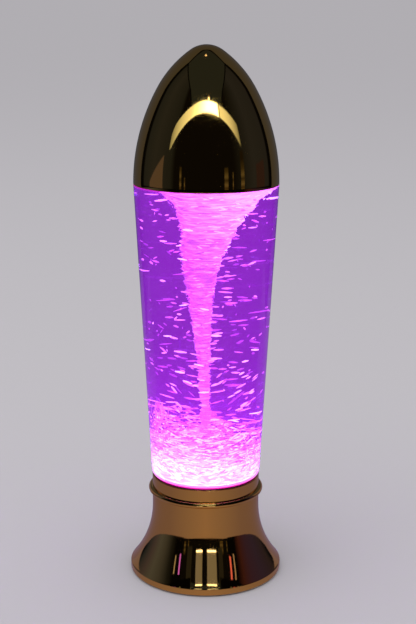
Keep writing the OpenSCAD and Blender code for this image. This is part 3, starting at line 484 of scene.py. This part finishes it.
def make_collar():
    """The ring under the vessel, with the spigot that goes into the base."""
    inner = SPIGOT_R - COLLAR_WALL
    outline = [(inner, WELL_Z), (SPIGOT_R, WELL_Z), (SPIGOT_R, BEAD_TOP_Z), (NECK_R, BEAD_TOP_Z)]
    outline += arc(NECK_R - COLLAR_EDGE, COLLAR_Z - COLLAR_EDGE, COLLAR_EDGE, 0, 90, 5) + [(inner, COLLAR_Z)]
    return make_piece("collar_polished", turned(outline, closed=True))


def make_bead():
    """The half-round ring on top of the base."""
    round_r = (BEAD_TOP_Z - BEAD_Z) / 2
    inner = NECK_R - SHELL_WALL
    outline = [(inner, BEAD_Z)] + arc(BEAD_R - round_r, BEAD_Z + round_r, round_r, -90, 90, 24)
    return make_piece("bead_polished", turned(outline + [(inner, BEAD_TOP_Z)], closed=True))


def make_base():
    """The flared shell: a turned sheet with the back panel's window cut out, then given its wall."""
    flare_z = NECK_Z - NECK_H
    lip_z = RIM_Z + LIP_H
    out, tall = RIM_R - NECK_R, flare_z - lip_z
    radius = (out ** 2 + tall ** 2) / (2 * out)
    sweep = math.degrees(math.asin(tall / radius))
    reach = LIP_ROUND * math.tan(math.radians(sweep / 2))
    trim = math.degrees(reach / radius)
    outline = arc(RIM_R - RIM_EDGE, RIM_Z + RIM_EDGE, RIM_EDGE, -60, 0, 5)
    outline += arc(RIM_R - LIP_ROUND, lip_z - reach, LIP_ROUND, 0, sweep - trim, 8)
    outline += arc(NECK_R + radius, flare_z, radius, 180 + sweep - trim, 180, 64) + [(NECK_R, NECK_Z)]
    shape = turned(outline, steps=BASE_STEPS)
    for axis, place in ((0, panel_low.x), (0, panel_high.x), (2, panel_low.z), (2, panel_high.z)):
        normal = Vector((axis == 0, 0, axis == 2))
        back = [f for f in shape.faces if f.calc_center_median().y > panel_low.y - CUT_ZONE]
        parts = {item for face in back for item in (face, *face.edges, *face.verts)}
        grow = BOND_GAP * (1 if place > normal.dot(panel_low + panel_high) / 2 else -1)
        bmesh.ops.bisect_plane(shape, geom=list(parts), dist=MERGE, plane_co=normal * (place + grow),
                               plane_no=normal)
    window = [f for f in shape.faces if f.calc_center_median().y > 0
              and abs(f.calc_center_median().x) < panel_high.x
              and panel_low.z < f.calc_center_median().z < panel_high.z]
    bmesh.ops.delete(shape, geom=window, context="FACES")
    bmesh.ops.solidify(shape, geom=shape.faces, thickness=SHELL_WALL)
    return make_piece("base_polished", shape)


dress(make_cap(), "cap", FINISHES["gold_mirror"], "gold_mirror", "cap_shell")
dress(make_collar(), "vessel", FINISHES["gold_mirror"], "gold_mirror", "collar")
dress(make_bead(), "base", FINISHES["gold_mirror"], "gold_mirror", "trim_bead")
dress(make_base(), "base", FINISHES["gold_mirror"], "gold_mirror", "base_shell")


# Vessel and liquid

def wall_in(height, inset):
    """Radius of the vessel's inside at a height, drawn in by an inset."""
    return FOOT_R + (height - SEAT_Z) * TAPER - (VESSEL_WALL + inset) * SLANT


def make_vessel():
    """The tapered vessel, with a round foot, a well down into the collar and a mouth up into the cap."""
    lean = math.degrees(math.atan(TAPER))
    foot_x = FOOT_R + FOOT_ROUND * (TAPER - SLANT)
    shoulder_z = CAP_Z - SHOULDER_T
    well_in = WELL_R - VESSEL_WALL
    mouth_in = MOUTH_R - VESSEL_WALL
    inside = [(0, WELL_Z + FLOOR_T), (well_in, WELL_Z + FLOOR_T), (well_in, STEP_Z)]
    inside += arc(wall_in(STEP_Z, 0) - STEP_ROUND, STEP_Z + STEP_ROUND, STEP_ROUND, -90, -lean, 6)
    inside += [(wall_in(shoulder_z, 0), shoulder_z), (mouth_in, shoulder_z), (mouth_in, MOUTH_Z)]
    outside = [(MOUTH_R, MOUTH_Z), (MOUTH_R, CAP_Z), (TOP_R, CAP_Z)]
    outside += arc(foot_x, FOOT_Z + FOOT_ROUND, FOOT_ROUND, -lean, -90, 12)
    outside += [(WELL_R, FOOT_Z), (WELL_R, WELL_Z), (0, WELL_Z)]
    return make_piece("vessel_clear", turned(inside + outside))


def make_liquid():
    """The liquid fills the vessel and wets its wall, so it reaches a hair into the wall."""
    floor_z = WELL_Z + FLOOR_T + BOND_GAP
    shoulder_z = CAP_Z - BOND_GAP
    well_in = WELL_R - VESSEL_WALL - BOND_GAP
    mouth_in = MOUTH_R - VESSEL_WALL - BOND_GAP
    outline = [(0, floor_z), (well_in, floor_z), (well_in, STEP_Z + BOND_GAP)]
    outline += arc(wall_in(STEP_Z, -WETTING) - STEP_ROUND, STEP_Z + STEP_ROUND, STEP_ROUND, -90, 0, 6)
    outline += [(wall_in(shoulder_z, -WETTING), shoulder_z), (mouth_in, shoulder_z), (mouth_in, FILL_Z),
                (0, FILL_Z)]
    return make_piece("liquid_lit", turned(outline))


dress(make_vessel(), "vessel", FINISHES["clear_wall"], "clear_wall", "vessel")
dress(make_liquid(), "vessel", FINISHES["glow_liquid"], "glow_liquid", "liquid")


# Funnel and glitter

# The funnel's middle line sways, and under the mouth the funnel is drawn in on its left
SWAY = 6.5 * MM
SWAY_FADE = 85 * MM
SWAY_TURN = 79 * MM
SWAY_EASE = 0.58
PINCH_DEPTH = 25 * MM
PINCH_SPAN = 17 * MM
PINCH_SHIFT = 2.3 * MM
PINCH_SHARE = 0.13
# Rows of its mesh outside and in the hollow, its least radius, and how near the middle counts as on it
FUNNEL_ROWS = 220
HOLLOW_ROWS = 40
THINNEST = 0.6 * MM
ON_LINE = 0.1 * MM

# Flakes are made by the handful, which is quicker than one by one
FLAKE_T = 0.3 * MM
HANDFUL = 80
FULL_TURN = 2 * math.pi
ON_AXIS = Vector((0, 0, 0))
SWIRL_FLAKES, SHEATH_FLAKES, CLOUD_FLAKES = 440, 1100, 2500
SWIRL_SEED, SHEATH_SEED, CLOUD_SEED = 11, 12, 13

# Each kind's ease is a power, which crowds the flakes low where it is above 1 and high where it is below.
# Loose flakes: their room under the cap, round the funnel and inside the wall, and the tilted ones' zone
CLOUD_Z = 104 * MM
SWIRL_EASE = 1.15
CAP_ROOM = 6 * MM
FUNNEL_ROOM = 3 * MM
WALL_ROOM = 1.5 * MM
TILTED_H = 40 * MM
# Which of them lie in a trail, glint white or glow pink, drawn from 0 to 1; the rest are dim. Their glow is
# painted light
TRAIL_FROM, GLINT_FROM, PINK_FROM = 0.95, 0.89, 0.48
TRAIL_GLOW, GLINT_GLOW, PINK_GLOW, DIM_GLOW = (0.68, 0.92), (0.84, 1), (0.5, 0.78), (0.15, 0.42)
# Trails: angle and spread in degrees, lowest and highest point in mm, and tilt
LEFT_TRAIL = (-122, 5, 121, 138, -0.72)
RIGHT_TRAIL = (-44, 12, 122, 150, 0.26)
LEFT_SHARE = 0.4
# Flakes in front of the funnel catch its light, painted as a brighter glow
FRONT_ROOM = 2 * MM
FRONT_GLOW = 0.64

# Flakes on the funnel: where they begin, how far they rise, and the brim that spreads under the cap
SHEATH_EASE = 0.6
SHEATH_Z = FUNNEL_Z + 30 * MM
SHEATH_RISE = FILL_Z - FUNNEL_Z - 31 * MM
BRIM_H = 5 * MM
# Flakes get shorter inside these radii, so that they don't stand out of a tight turn
SHEATH_TIGHT = 7 * MM
CLOUD_TIGHT = 10 * MM

# The cloud: its floor, its crest with a lean to the left, its dense core, and its plume as a share of the
# flakes, angle and spread in degrees, and lowest and highest point in mm
CLOUD_EASE = 1.3
CLOUD_FLOOR = STEP_Z + 0.8 * MM
CREST_Z = CLOUD_Z + 3 * MM
CREST_LEAN = 11 * MM
CLOUD_ROOM = 1.2 * MM
CORE_SHARE = 0.1
CORE_REACH = (0.12, 0.34)
PLUME_SHARE = 0.022
PLUME = (-150, 7, 100, 124)


def pinch(height):
    """How far the funnel is drawn in under its mouth, from 0 to 1."""
    return math.exp(-((FILL_Z - height - PINCH_DEPTH) / PINCH_SPAN) ** 2)


def funnel_radius(height):
    """Radius of the funnel, which flares from its core to its mouth."""
    flare = (FUNNEL_R - FUNNEL_CORE) * math.exp((height - FILL_Z) / FUNNEL_DECAY)
    return FUNNEL_CORE + flare * (1 - PINCH_SHARE * pinch(height))


def funnel_centre(height):
    """The funnel's middle line winds round the axis, in longer and narrower turns towards its foot."""
    depth = max(0, FILL_Z - height)
    reach = SWAY * math.exp(-depth / SWAY_FADE)
    turn = math.pi * (depth / SWAY_TURN) ** SWAY_EASE
    return Vector((reach * math.cos(turn) + PINCH_SHIFT * pinch(height), -reach * math.sin(turn), 0))


def make_funnel():
    """A hollow sheath round the core, with ragged, stepped edges like brush strokes."""
    hollow_z = FILL_Z + FUNNEL_DECAY * math.log(SHEATH_T / (FUNNEL_R - FUNNEL_CORE))
    climb = [FUNNEL_Z + (FILL_Z - FUNNEL_Z) * i / FUNNEL_ROWS for i in range(FUNNEL_ROWS + 1)]
    fall = [FILL_Z - (FILL_Z - hollow_z) * i / HOLLOW_ROWS for i in range(HOLLOW_ROWS + 1)]
    outline = [(0, FUNNEL_Z)] + [(funnel_radius(z), z) for z in climb]
    outline += [(funnel_radius(z) - SHEATH_T, z) for z in fall] + [(0, hollow_z)]
    shape = turned(outline, steps=FUNNEL_STEPS)
    for corner in shape.verts:
        spot = corner.co
        across = math.hypot(spot.x, spot.y)
        if across < ON_LINE:
            spot += funnel_centre(spot.z)
            continue
        facing = Vector((spot.x / across, spot.y / across, 0))
        # Ripples 9, 2.6 and 0.9 mm high; the first two grow with the radius
        slow = noise.noise(Vector((facing.x * 0.8, facing.y * 0.8, spot.z / (9 * MM))))
        quick = noise.noise(Vector((facing.x * 1.5 + 9, facing.y * 1.5, spot.z / (2.6 * MM))))
        fray = noise.noise(Vector((facing.x * 2.2 + 4, facing.y * 2.2 + 7, spot.z / (0.9 * MM))))
        ragged = (0.1 * slow + 0.06 * quick) * across + (0.7 * slow + 0.8 * quick + 1.1 * fray) * MM
        spot += facing * max(ragged, THINNEST - across) + funnel_centre(spot.z)
    return make_piece("vortex_funnel", shape, sharp=ALL_SMOOTH)


def glitter(name, count, place, seed):
    """Flakes as stretched grains of twenty faces, each set along the swirl."""
    dice = random.Random(seed)
    shape = bmesh.new()
    store = bpy.data.meshes.new("flakes")
    for start in range(0, count, HANDFUL):
        handful = bmesh.new()
        layer = handful.verts.layers.float.new("glow")
        for _ in range(min(HANDFUL, count - start)):
            centre, radius, turn, height, length, width, tilt, glow = place(dice)
            spot = Matrix.Translation(centre) @ Matrix.Rotation(turn, 4, "Z")
            spot @= Matrix.Translation((radius, 0, height)) @ Matrix.Rotation(tilt, 4, "X")
            spot @= Matrix.Diagonal((FLAKE_T / 2, length / 2, width / 2, 1))
            grain = bmesh.ops.create_icosphere(handful, subdivisions=1, radius=1, matrix=spot)
            for corner in grain["verts"]:
                corner[layer] = glow
        handful.to_mesh(store)
        handful.free()
        shape.from_mesh(store)
    bpy.data.meshes.remove(store)
    return make_piece(name, shape, sharp=ALL_SMOOTH)


def in_swirl(dice):
    """Loose flakes between the funnel and the wall, tilted near the cloud, and two bright trails over it."""
    height = CLOUD_Z + (CAP_Z - CAP_ROOM - CLOUD_Z) * dice.random() ** SWIRL_EASE
    inner = funnel_radius(height) + FUNNEL_ROOM
    outer = wall_in(height, WALL_ROOM)
    radius = math.sqrt(inner ** 2 + (outer ** 2 - inner ** 2) * dice.random())
    turn = dice.uniform(0, FULL_TURN)
    low = height < CLOUD_Z + TILTED_H
    length = dice.uniform(3.5, 9 if low else 8.5) * MM
    tilt = dice.gauss(-0.4 * math.sin(2 * turn) if low else -0.04, 0.2 if low else 0.14)
    kind = dice.random()
    glow = dice.uniform(*DIM_GLOW)
    if kind > TRAIL_FROM:
        angle, spread, lowest, highest, slope = LEFT_TRAIL if dice.random() < LEFT_SHARE else RIGHT_TRAIL
        turn = math.radians(dice.gauss(angle, spread))
        height = dice.uniform(lowest, highest) * MM
        radius = wall_in(height, dice.uniform(2, 6) * MM)
        length, tilt = dice.uniform(5, 9) * MM, dice.gauss(slope, 0.08)
        glow = dice.uniform(*TRAIL_GLOW)
    elif kind > GLINT_FROM:
        glow = dice.uniform(*GLINT_GLOW)
    elif kind > PINK_FROM:
        glow = dice.uniform(*PINK_GLOW)
    if math.sin(turn) < 0 and abs(radius * math.cos(turn)) < inner + FRONT_ROOM:
        glow = max(glow, FRONT_GLOW)
    return ON_AXIS, radius, turn, height, length, dice.uniform(0.9, 1.7) * MM, tilt, glow


def on_sheath(dice):
    """Flakes that gather thickly on the funnel, fray its edges and spread out under the cap, with a painted
    glow that grows towards the mouth and on the right.
    """
    share = dice.random() ** SHEATH_EASE
    height = SHEATH_Z + SHEATH_RISE * share
    radius = funnel_radius(height) * dice.uniform(0.94, 1.08) + dice.uniform(0, 0.6) * MM
    if height > FILL_Z - BRIM_H:
        radius = dice.uniform(0.9, 1.12) * FUNNEL_R
    length = dice.uniform(2.5, 9) * MM * min(1, radius / SHEATH_TIGHT)
    turn = dice.uniform(0, FULL_TURN)
    painted_glow_boost = (0.24 + 0.26 * math.cos(turn)) * share ** 3
    glow = min(1, dice.uniform(0.26, 0.74) + painted_glow_boost)
    return (funnel_centre(height), radius, turn, height, length, dice.uniform(0.5, 1.1) * MM,
            dice.gauss(0, 0.16), glow)


def in_cloud(dice):
    """The dense cloud over the impeller, its painted glow whiter towards its foot, with an upright plume on
    the left.
    """
    turn = dice.uniform(0, FULL_TURN)
    share = dice.random() ** CLOUD_EASE
    reach = math.sqrt(dice.uniform(0.02, 1))
    if dice.random() < CORE_SHARE:
        reach = dice.uniform(*CORE_REACH)
    crest = CREST_Z - CREST_LEAN * reach * math.cos(turn) + dice.gauss(0, 4) * MM
    height = CLOUD_FLOOR + (crest - CLOUD_FLOOR) * share
    radius = wall_in(height, CLOUD_ROOM) * reach
    length = dice.uniform(3, 10) * MM * min(1, radius / CLOUD_TIGHT)
    tilt = dice.gauss(0, 0.26)
    glow = min(1, max(0.1, dice.gauss(0.91 - 0.42 * share, 0.3)))
    if dice.random() < PLUME_SHARE:
        angle, spread, lowest, highest = PLUME
        turn, height = math.radians(dice.gauss(angle, spread)), dice.uniform(lowest, highest) * MM
        radius = wall_in(height, dice.uniform(1.5, 5) * MM)
        tilt, glow = dice.gauss(1.4, 0.2), dice.uniform(0.4, 0.7)
    return ON_AXIS, radius, turn, height, length, dice.uniform(0.6, 1.6) * MM, tilt, glow


dress(make_funnel(), "impeller", FINISHES["glitter_funnel"], "glitter_funnel", "vortex")
swirl = glitter("glitter_swirl", SWIRL_FLAKES, in_swirl, SWIRL_SEED)
dress(swirl, "impeller", FLAKES, "glitter_funnel")
sheath = glitter("glitter_sheath", SHEATH_FLAKES, on_sheath, SHEATH_SEED)
dress(sheath, "impeller", FLAKES, "glitter_funnel")
bed = glitter("glitter_bed", CLOUD_FLAKES, in_cloud, CLOUD_SEED)
dress(bed, "vessel", FLAKES, "glitter_funnel", "glitter_cloud")


# Stage, in metres: a pale floor, and dark drapes, strips and cards that only the mirror finish sees

FLOOR = "c3c0c5"
FLOOR_R = 60
SKY = 0.8
DRAPE_R, DRAPE_H = 2.0, 2.0
ROOF_Y = -0.65
TABLE_W, TABLE_L = 0.43, 0.63
BACK_Y, BACK_W, BACK_H = 0.3, 0.52, 1.18
ARCH_LEFT, ARCH_RIGHT, ARCH_Y = -1.12, 0.96, 0.58
ARCH_TOP, ARCH_FOOT = 0.928, 0.78
# The arch sags by these times the square of X, and its top by more past the last of them
TOP_SAG, FOOT_SAG, END_SAG, ARCH_END = 0.05, 0.19, 1.6, 0.9
CARD_R, CARD_LOW, CARD_HIGH = 0.168, 0.05, 0.145
STREAK_R, HOOD_R, EDGE_R, FLAG_R, WALL_R = 0.195, 0.1, 0.198, 0.2, 1.9
CEILING_X, CEILING_Y = -0.041, 0.244
SCREEN_STEP = 3
LIGHT_AT, LIGHT_SIZE, LIGHT_POWER = (-0.7, -1.1, 2.7), 3.0, 26
LAMP_MIDDLE = Vector((0, 0, 0.18))

# Plain tones of the stage: colour and level of light
TONES = {
    "rose_card": ("9956ff", 2.6),
    "red_card": ("ff89a8", 1.0),
    "amber_card": ("f8e8ff", 0.5),
    "cream_card": ("f4f0ff", 0.5),
    "rear_card": ("f4f0ff", 0.2),
    "dim_card": ("2a2c30", 1.0),
    "wall_grey": ("5e5864", 1.0),
    "wall_red": ("342a36", 1.0),
    "roof_cloth": ("2a3340", 1.0),
    "black_cloth": ("060607", 1.0),
    "pale_paper": ("857889", 1.0),
    "bulb_glass": ("fff4e8", 8.0),
    "ceiling_glass": ("fff4f4", 1.8),
}


def stage_piece(name, shape, finish, mirror_only=True):
    """A piece of the stage, which only mirrors see unless said otherwise."""
    piece = make_piece(name, shape)
    piece.data.materials.append(finish)
    if mirror_only:
        piece.visible_camera = piece.visible_diffuse = piece.visible_transmission = False
        piece.visible_shadow = piece.visible_volume_scatter = False


def plain_light(name, colour, level):
    """A surface that shows one level of light and lights nothing itself."""
    finish = bpy.data.materials.new(name)
    finish.use_nodes = True
    finish.node_tree.nodes.clear()
    glow = add(finish, "Emission", {"Color": linear(colour), "Strength": level})
    add(finish, "OutputMaterial", {"Surface": glow.outputs["Emission"]})
    finish.cycles.emission_sampling = "NONE"
    return finish, glow


def ramp_light(name, level, along, start, end, stops):
    """Light that changes along X, along Z, or by the turn round the lamp.

    Turns run from -1 behind, by way of the left, 0 in front and the right, to 1 behind.
    """
    finish, glow = plain_light(name, "ffffff", level)
    spot = add(finish, "SeparateXYZ", {"Vector": add(finish, "TexCoord").outputs["Object"]})
    if along == "turn":
        ahead = add(finish, "Math", {0: spot.outputs["Y"], 1: -1.0}, operation="MULTIPLY")
        way = add(finish, "Math", {0: spot.outputs["X"], 1: ahead.outputs["Value"]}, operation="ARCTAN2")
        half = add(finish, "Math", {0: way.outputs["Value"], 1: math.pi}, operation="DIVIDE")
        place = half.outputs["Value"]
    else:
        place = spot.outputs[along]
    share = add(finish, "MapRange", {"Value": place, "From Min": start, "From Max": end})
    tone = add(finish, "ValToRGB", {"Fac": share.outputs["Result"]}, stops)
    plug(finish, glow, {"Color": tone.outputs["Color"]})
    return finish


def make_floor():
    """A plain pale floor, far larger than the view."""
    finish, _ = new_finish("floor_matt_pale", {
        "Base Color": linear(FLOOR), "Roughness": 0.9, "Specular IOR Level": 0.0})
    shape = bmesh.new()
    bmesh.ops.create_circle(shape, cap_ends=True, segments=64, radius=FLOOR_R)
    stage_piece("floor", shape, finish, mirror_only=False)


def make_panel(name, centre, facing, width, height, finish):
    """A flat panel that faces a point."""
    shape = bmesh.new()
    turn = (Vector(facing) - Vector(centre)).to_track_quat("Z", "Y").to_matrix().to_4x4()
    place = Matrix.Translation(centre) @ turn @ Matrix.Diagonal((width / 2, height / 2, 1, 1))
    bmesh.ops.create_grid(shape, x_segments=1, y_segments=1, size=1, matrix=place)
    stage_piece(name, shape, finish)


def make_screen(name, radius, start, end, low, high, finish, rise=0.0):
    """A curved screen round the lamp between two angles, in degrees from the front towards the right."""
    shape = bmesh.new()
    side = math.radians(start)
    points = [shape.verts.new((radius * math.sin(side), -radius * math.cos(side), z)) for z in (low, high)]
    edge = shape.edges.new(points)
    steps = max(2, int(abs(end - start) / SCREEN_STEP))
    bmesh.ops.spin(shape, geom=points + [edge], cent=(0, 0, 0), axis=(0, 0, 1),
                   angle=math.radians(end - start), dvec=(0, 0, rise / steps), steps=steps)
    stage_piece(name, shape, finish)


def make_arch():
    """A long strip light before the lamp, white in the middle, with drooping ends and a thin mullion."""
    finish = ramp_light("strip_light", 9.0, "X", ARCH_LEFT, ARCH_RIGHT, [
        (0.0, "343a3a"), (0.18, "565e5e"), (0.36, "717a7a"), (0.44, "909a9a"), (0.5, "c8d8d8"),
        (0.545, "ecffff"), (0.668, "ecffff"), (0.673, "101212"), (0.683, "101212"), (0.688, "737c7c"),
        (0.85, "596060"), (1.0, "343a3a")])
    shape = bmesh.new()
    bmesh.ops.create_grid(shape, x_segments=56, y_segments=1, size=1)
    for corner in shape.verts:
        upper = corner.co.y > 0
        x = ARCH_LEFT + (ARCH_RIGHT - ARCH_LEFT) * (corner.co.x + 1) / 2
        top = ARCH_TOP - TOP_SAG * x ** 2 - END_SAG * max(0, abs(x) - ARCH_END) ** 2
        foot = ARCH_FOOT - FOOT_SAG * min(abs(x), 1.0) ** 2
        corner.co = (x, -ARCH_Y, top if upper else foot)
    stage_piece("arch", shape, finish)


def make_set():
    """What stands round the lamp and above it."""
    tones = {name: plain_light(name, colour, level)[0] for name, (colour, level) in TONES.items()}
    card = ramp_light("pale_card", 7.0, "Z", CARD_LOW, CARD_HIGH, [
        (0.0, "d9dff0"), (0.03, "d9dff0"), (0.06, "353740"), (0.93, "353740"), (0.955, "d9dff0"),
        (1.0, "d9dff0")])
    strip = ramp_light("wall_strip", 0.22, "Z", 0.02, 0.6, [
        (0.0, "d8c8a0"), (0.14, "7a6848"), (0.24, "d8ccb0"), (0.4, "6a6248"), (0.52, "c8c0a0"),
        (0.7, "807858"), (1.0, "4a4434")])
    flag_left = ramp_light("flag_olive", 1.0, "turn", -0.71, -0.22, [
        (0.0, "08080a"), (0.04, "10131c"), (0.12, "2c3446"), (0.3, "4a4a68"), (0.45, "525c78"),
        (0.6, "454c62"), (0.75, "20242e"), (0.85, "08080a")])
    flag_right = ramp_light("flag_maroon", 1.0, "turn", 0.22, 0.71, [
        (0.15, "08080a"), (0.25, "40252e"), (0.4, "3a2c58"), (0.6, "352f60"), (0.85, "302c40"),
        (0.95, "10131c"), (1.0, "08080a")])
    table = ramp_light("table_cloth", 1.0, "turn", -1, 1, [
        (0.0, "786880"), (0.3, "85758a"), (0.42, "98868f"), (0.5, "a48f94"), (0.58, "98868f"),
        (0.7, "85758a"), (1.0, "786880")])
    backdrop = ramp_light("backdrop_paper", 1.0, "Z", 0.09, 0.15, [(0.0, "857889"), (1.0, "4a4d54")])
    drapes = ramp_light("drape_dark", 1.0, "turn", -1, 1, [
        (0.0, "08080a"), (0.182, "08080a"), (0.188, "262d3a"), (0.25, "2e3444"), (0.34, "242a36"),
        (0.36, "101012"), (0.62, "101012"), (0.66, "1e222c"), (0.72, "2c3246"), (0.812, "282d3e"),
        (0.818, "08080a"), (1.0, "08080a")])
    # Screens: radius, first and last angle, lowest and highest edge at the first, finish, rise to the last
    for row in (
            ("card_left", CARD_R, -15.6, -5.2, CARD_LOW, CARD_HIGH, card),
            ("card_right", CARD_R, 2.8, 17.8, CARD_LOW, CARD_HIGH, card),
            ("card_rear_left", CARD_R, 165, 175, CARD_LOW, CARD_HIGH, tones["rear_card"]),
            ("card_rear_right", CARD_R, 184, 198, CARD_LOW, CARD_HIGH, tones["rear_card"]),
            ("streak_cream", STREAK_R, -51.8, -50, 0.063, 0.112, tones["cream_card"]),
            ("streak_rose", STREAK_R, -44, -41.8, 0.062, 0.118, tones["rose_card"]),
            ("streak_red", STREAK_R, 40.5, 43, 0.067, 0.136, tones["red_card"]),
            ("streak_amber", STREAK_R, 47.4, 49.2, 0.061, 0.134, tones["amber_card"]),
            ("dim_left", STREAK_R, -31, -23, 0.045, 0.16, tones["dim_card"]),
            ("dim_right", STREAK_R, 22, 29, 0.05, 0.16, tones["dim_card"]),
            ("hood_left", HOOD_R, -80, -20, 0.056, 0.14, tones["black_cloth"]),
            ("hood_middle", HOOD_R, -20, 20, 0.0715, 0.14, tones["black_cloth"]),
            ("hood_right", HOOD_R, 20, 80, 0.056, 0.14, tones["black_cloth"]),
            ("hood_high", HOOD_R, -40, 40, 0.159, 0.2, tones["black_cloth"]),
            ("wall_right", WALL_R, 84, 102, 0.02, 0.42, tones["wall_red"]),
            ("strip_a", WALL_R, -41.5, -38.5, 0.05, 0.5, strip),
            ("strip_b", WALL_R, -34, -32.5, 0.02, 0.3, strip),
            ("strip_c", WALL_R, 28, 34, 0.03, 0.5, strip),
            ("strip_d", WALL_R, 41, 42.5, 0.03, 0.4, strip),
            ("strip_e", WALL_R, 55, 61, 0.02, 0.75, strip),
            ("flag_left", FLAG_R, -40, -127, 0.024, 0.25, flag_left, -0.022),
            ("flag_right", FLAG_R, 40, 127, 0.024, 0.25, flag_right, -0.022),
            ("edge_left", EDGE_R, -101, -131, 0.075, 0.18, tones["pale_paper"], -0.08),
            ("edge_right", EDGE_R, 103, 133, 0.075, 0.18, tones["pale_paper"], -0.08),
            ("wall_left", WALL_R, -98, -71, -0.5, 0.12, tones["wall_grey"], 0.5)):
        make_screen(*row)
    # Panels: middle, point that they face, width, height and finish
    table_y = (BACK_Y - TABLE_L) / 2
    for row in (
            ("roof_panel", (0, ROOF_Y, DRAPE_H - 0.02), (0, ROOF_Y, 0), 2.0, 2.3, tones["roof_cloth"]),
            ("roof_frame", (0, ROOF_Y, DRAPE_H - 0.01), (0, ROOF_Y, 0), 2.14, 2.5, tones["black_cloth"]),
            ("floor_cloth", (0, 0, 0.3 * MM), (0, 0, 1), 2 * DRAPE_R, 2 * DRAPE_R, tones["black_cloth"]),
            ("table_cloth", (0, table_y, 0.6 * MM), (0, table_y, 1), 2 * TABLE_W, TABLE_L + BACK_Y, table),
            ("ceiling_lamp", (CEILING_X, CEILING_Y, DRAPE_H - 0.03), (CEILING_X, CEILING_Y, 0), 0.12, 0.07,
             tones["ceiling_glass"]),
            ("bulb", (0.06, -0.57, 0.944), (0, 0, 0.3), 0.026, 0.03, tones["bulb_glass"]),
            ("backdrop", (0, BACK_Y, BACK_H / 2), (0, 0, BACK_H / 2), 2 * BACK_W, BACK_H, backdrop)):
        make_panel(*row)
    outline = [(DRAPE_R, 0), (DRAPE_R, DRAPE_H), (0, DRAPE_H)]
    stage_piece("drapes", turned(outline, steps=DRAPE_STEPS), drapes)


def make_light():
    """One square soft light, aimed at the middle of the lamp."""
    data = bpy.data.lights.new("soft_light", "AREA")
    data.energy = LIGHT_POWER
    data.size = LIGHT_SIZE
    light = bpy.data.objects.new("soft_light", data)
    light.location = LIGHT_AT
    light.rotation_euler = (LAMP_MIDDLE - Vector(LIGHT_AT)).to_track_quat("-Z", "Y").to_euler()
    light.visible_glossy = False
    bpy.context.scene.collection.objects.link(light)


def make_world():
    """Pale where the eye, a mirror or the vessel looks, and a plain even light for the rest."""
    world = bpy.data.worlds.new("studio")
    world.use_nodes = True
    bpy.context.scene.world = world
    world.node_tree.nodes.clear()
    path = add(world, "LightPath")
    seen = path.outputs["Is Camera Ray"]
    for kind in ("Is Glossy Ray", "Is Transmission Ray"):
        seen = add(world, "Math", {0: seen, 1: path.outputs[kind]}, operation="MAXIMUM").outputs["Value"]
    plain = add(world, "Background", {"Color": linear("ffffff"), "Strength": SKY})
    pale = add(world, "Background", {"Color": linear(FLOOR), "Strength": SKY})
    both = add(world, "MixShader", {"Fac": seen, 1: plain.outputs["Background"],
                                    2: pale.outputs["Background"]})
    add(world, "OutputWorld", {"Surface": both.outputs["Shader"]})


def make_camera():
    """The camera, which looks down on the lamp a little."""
    data = bpy.data.cameras.new("camera")
    data.lens = CAMERA_LENS
    camera = bpy.data.objects.new("camera", data)
    camera.location = CAMERA_AT
    tilt = Matrix.Rotation(math.pi / 2 - CAMERA_DOWN, 3, "X") @ Matrix.Rotation(CAMERA_ROLL, 3, "Z")
    camera.rotation_euler = tilt.to_euler()
    bpy.context.scene.collection.objects.link(camera)
    bpy.context.scene.camera = camera


make_floor()
make_arch()
make_set()
make_light()
make_world()
make_camera()
bpy.context.scene.view_settings.view_transform = "Standard"
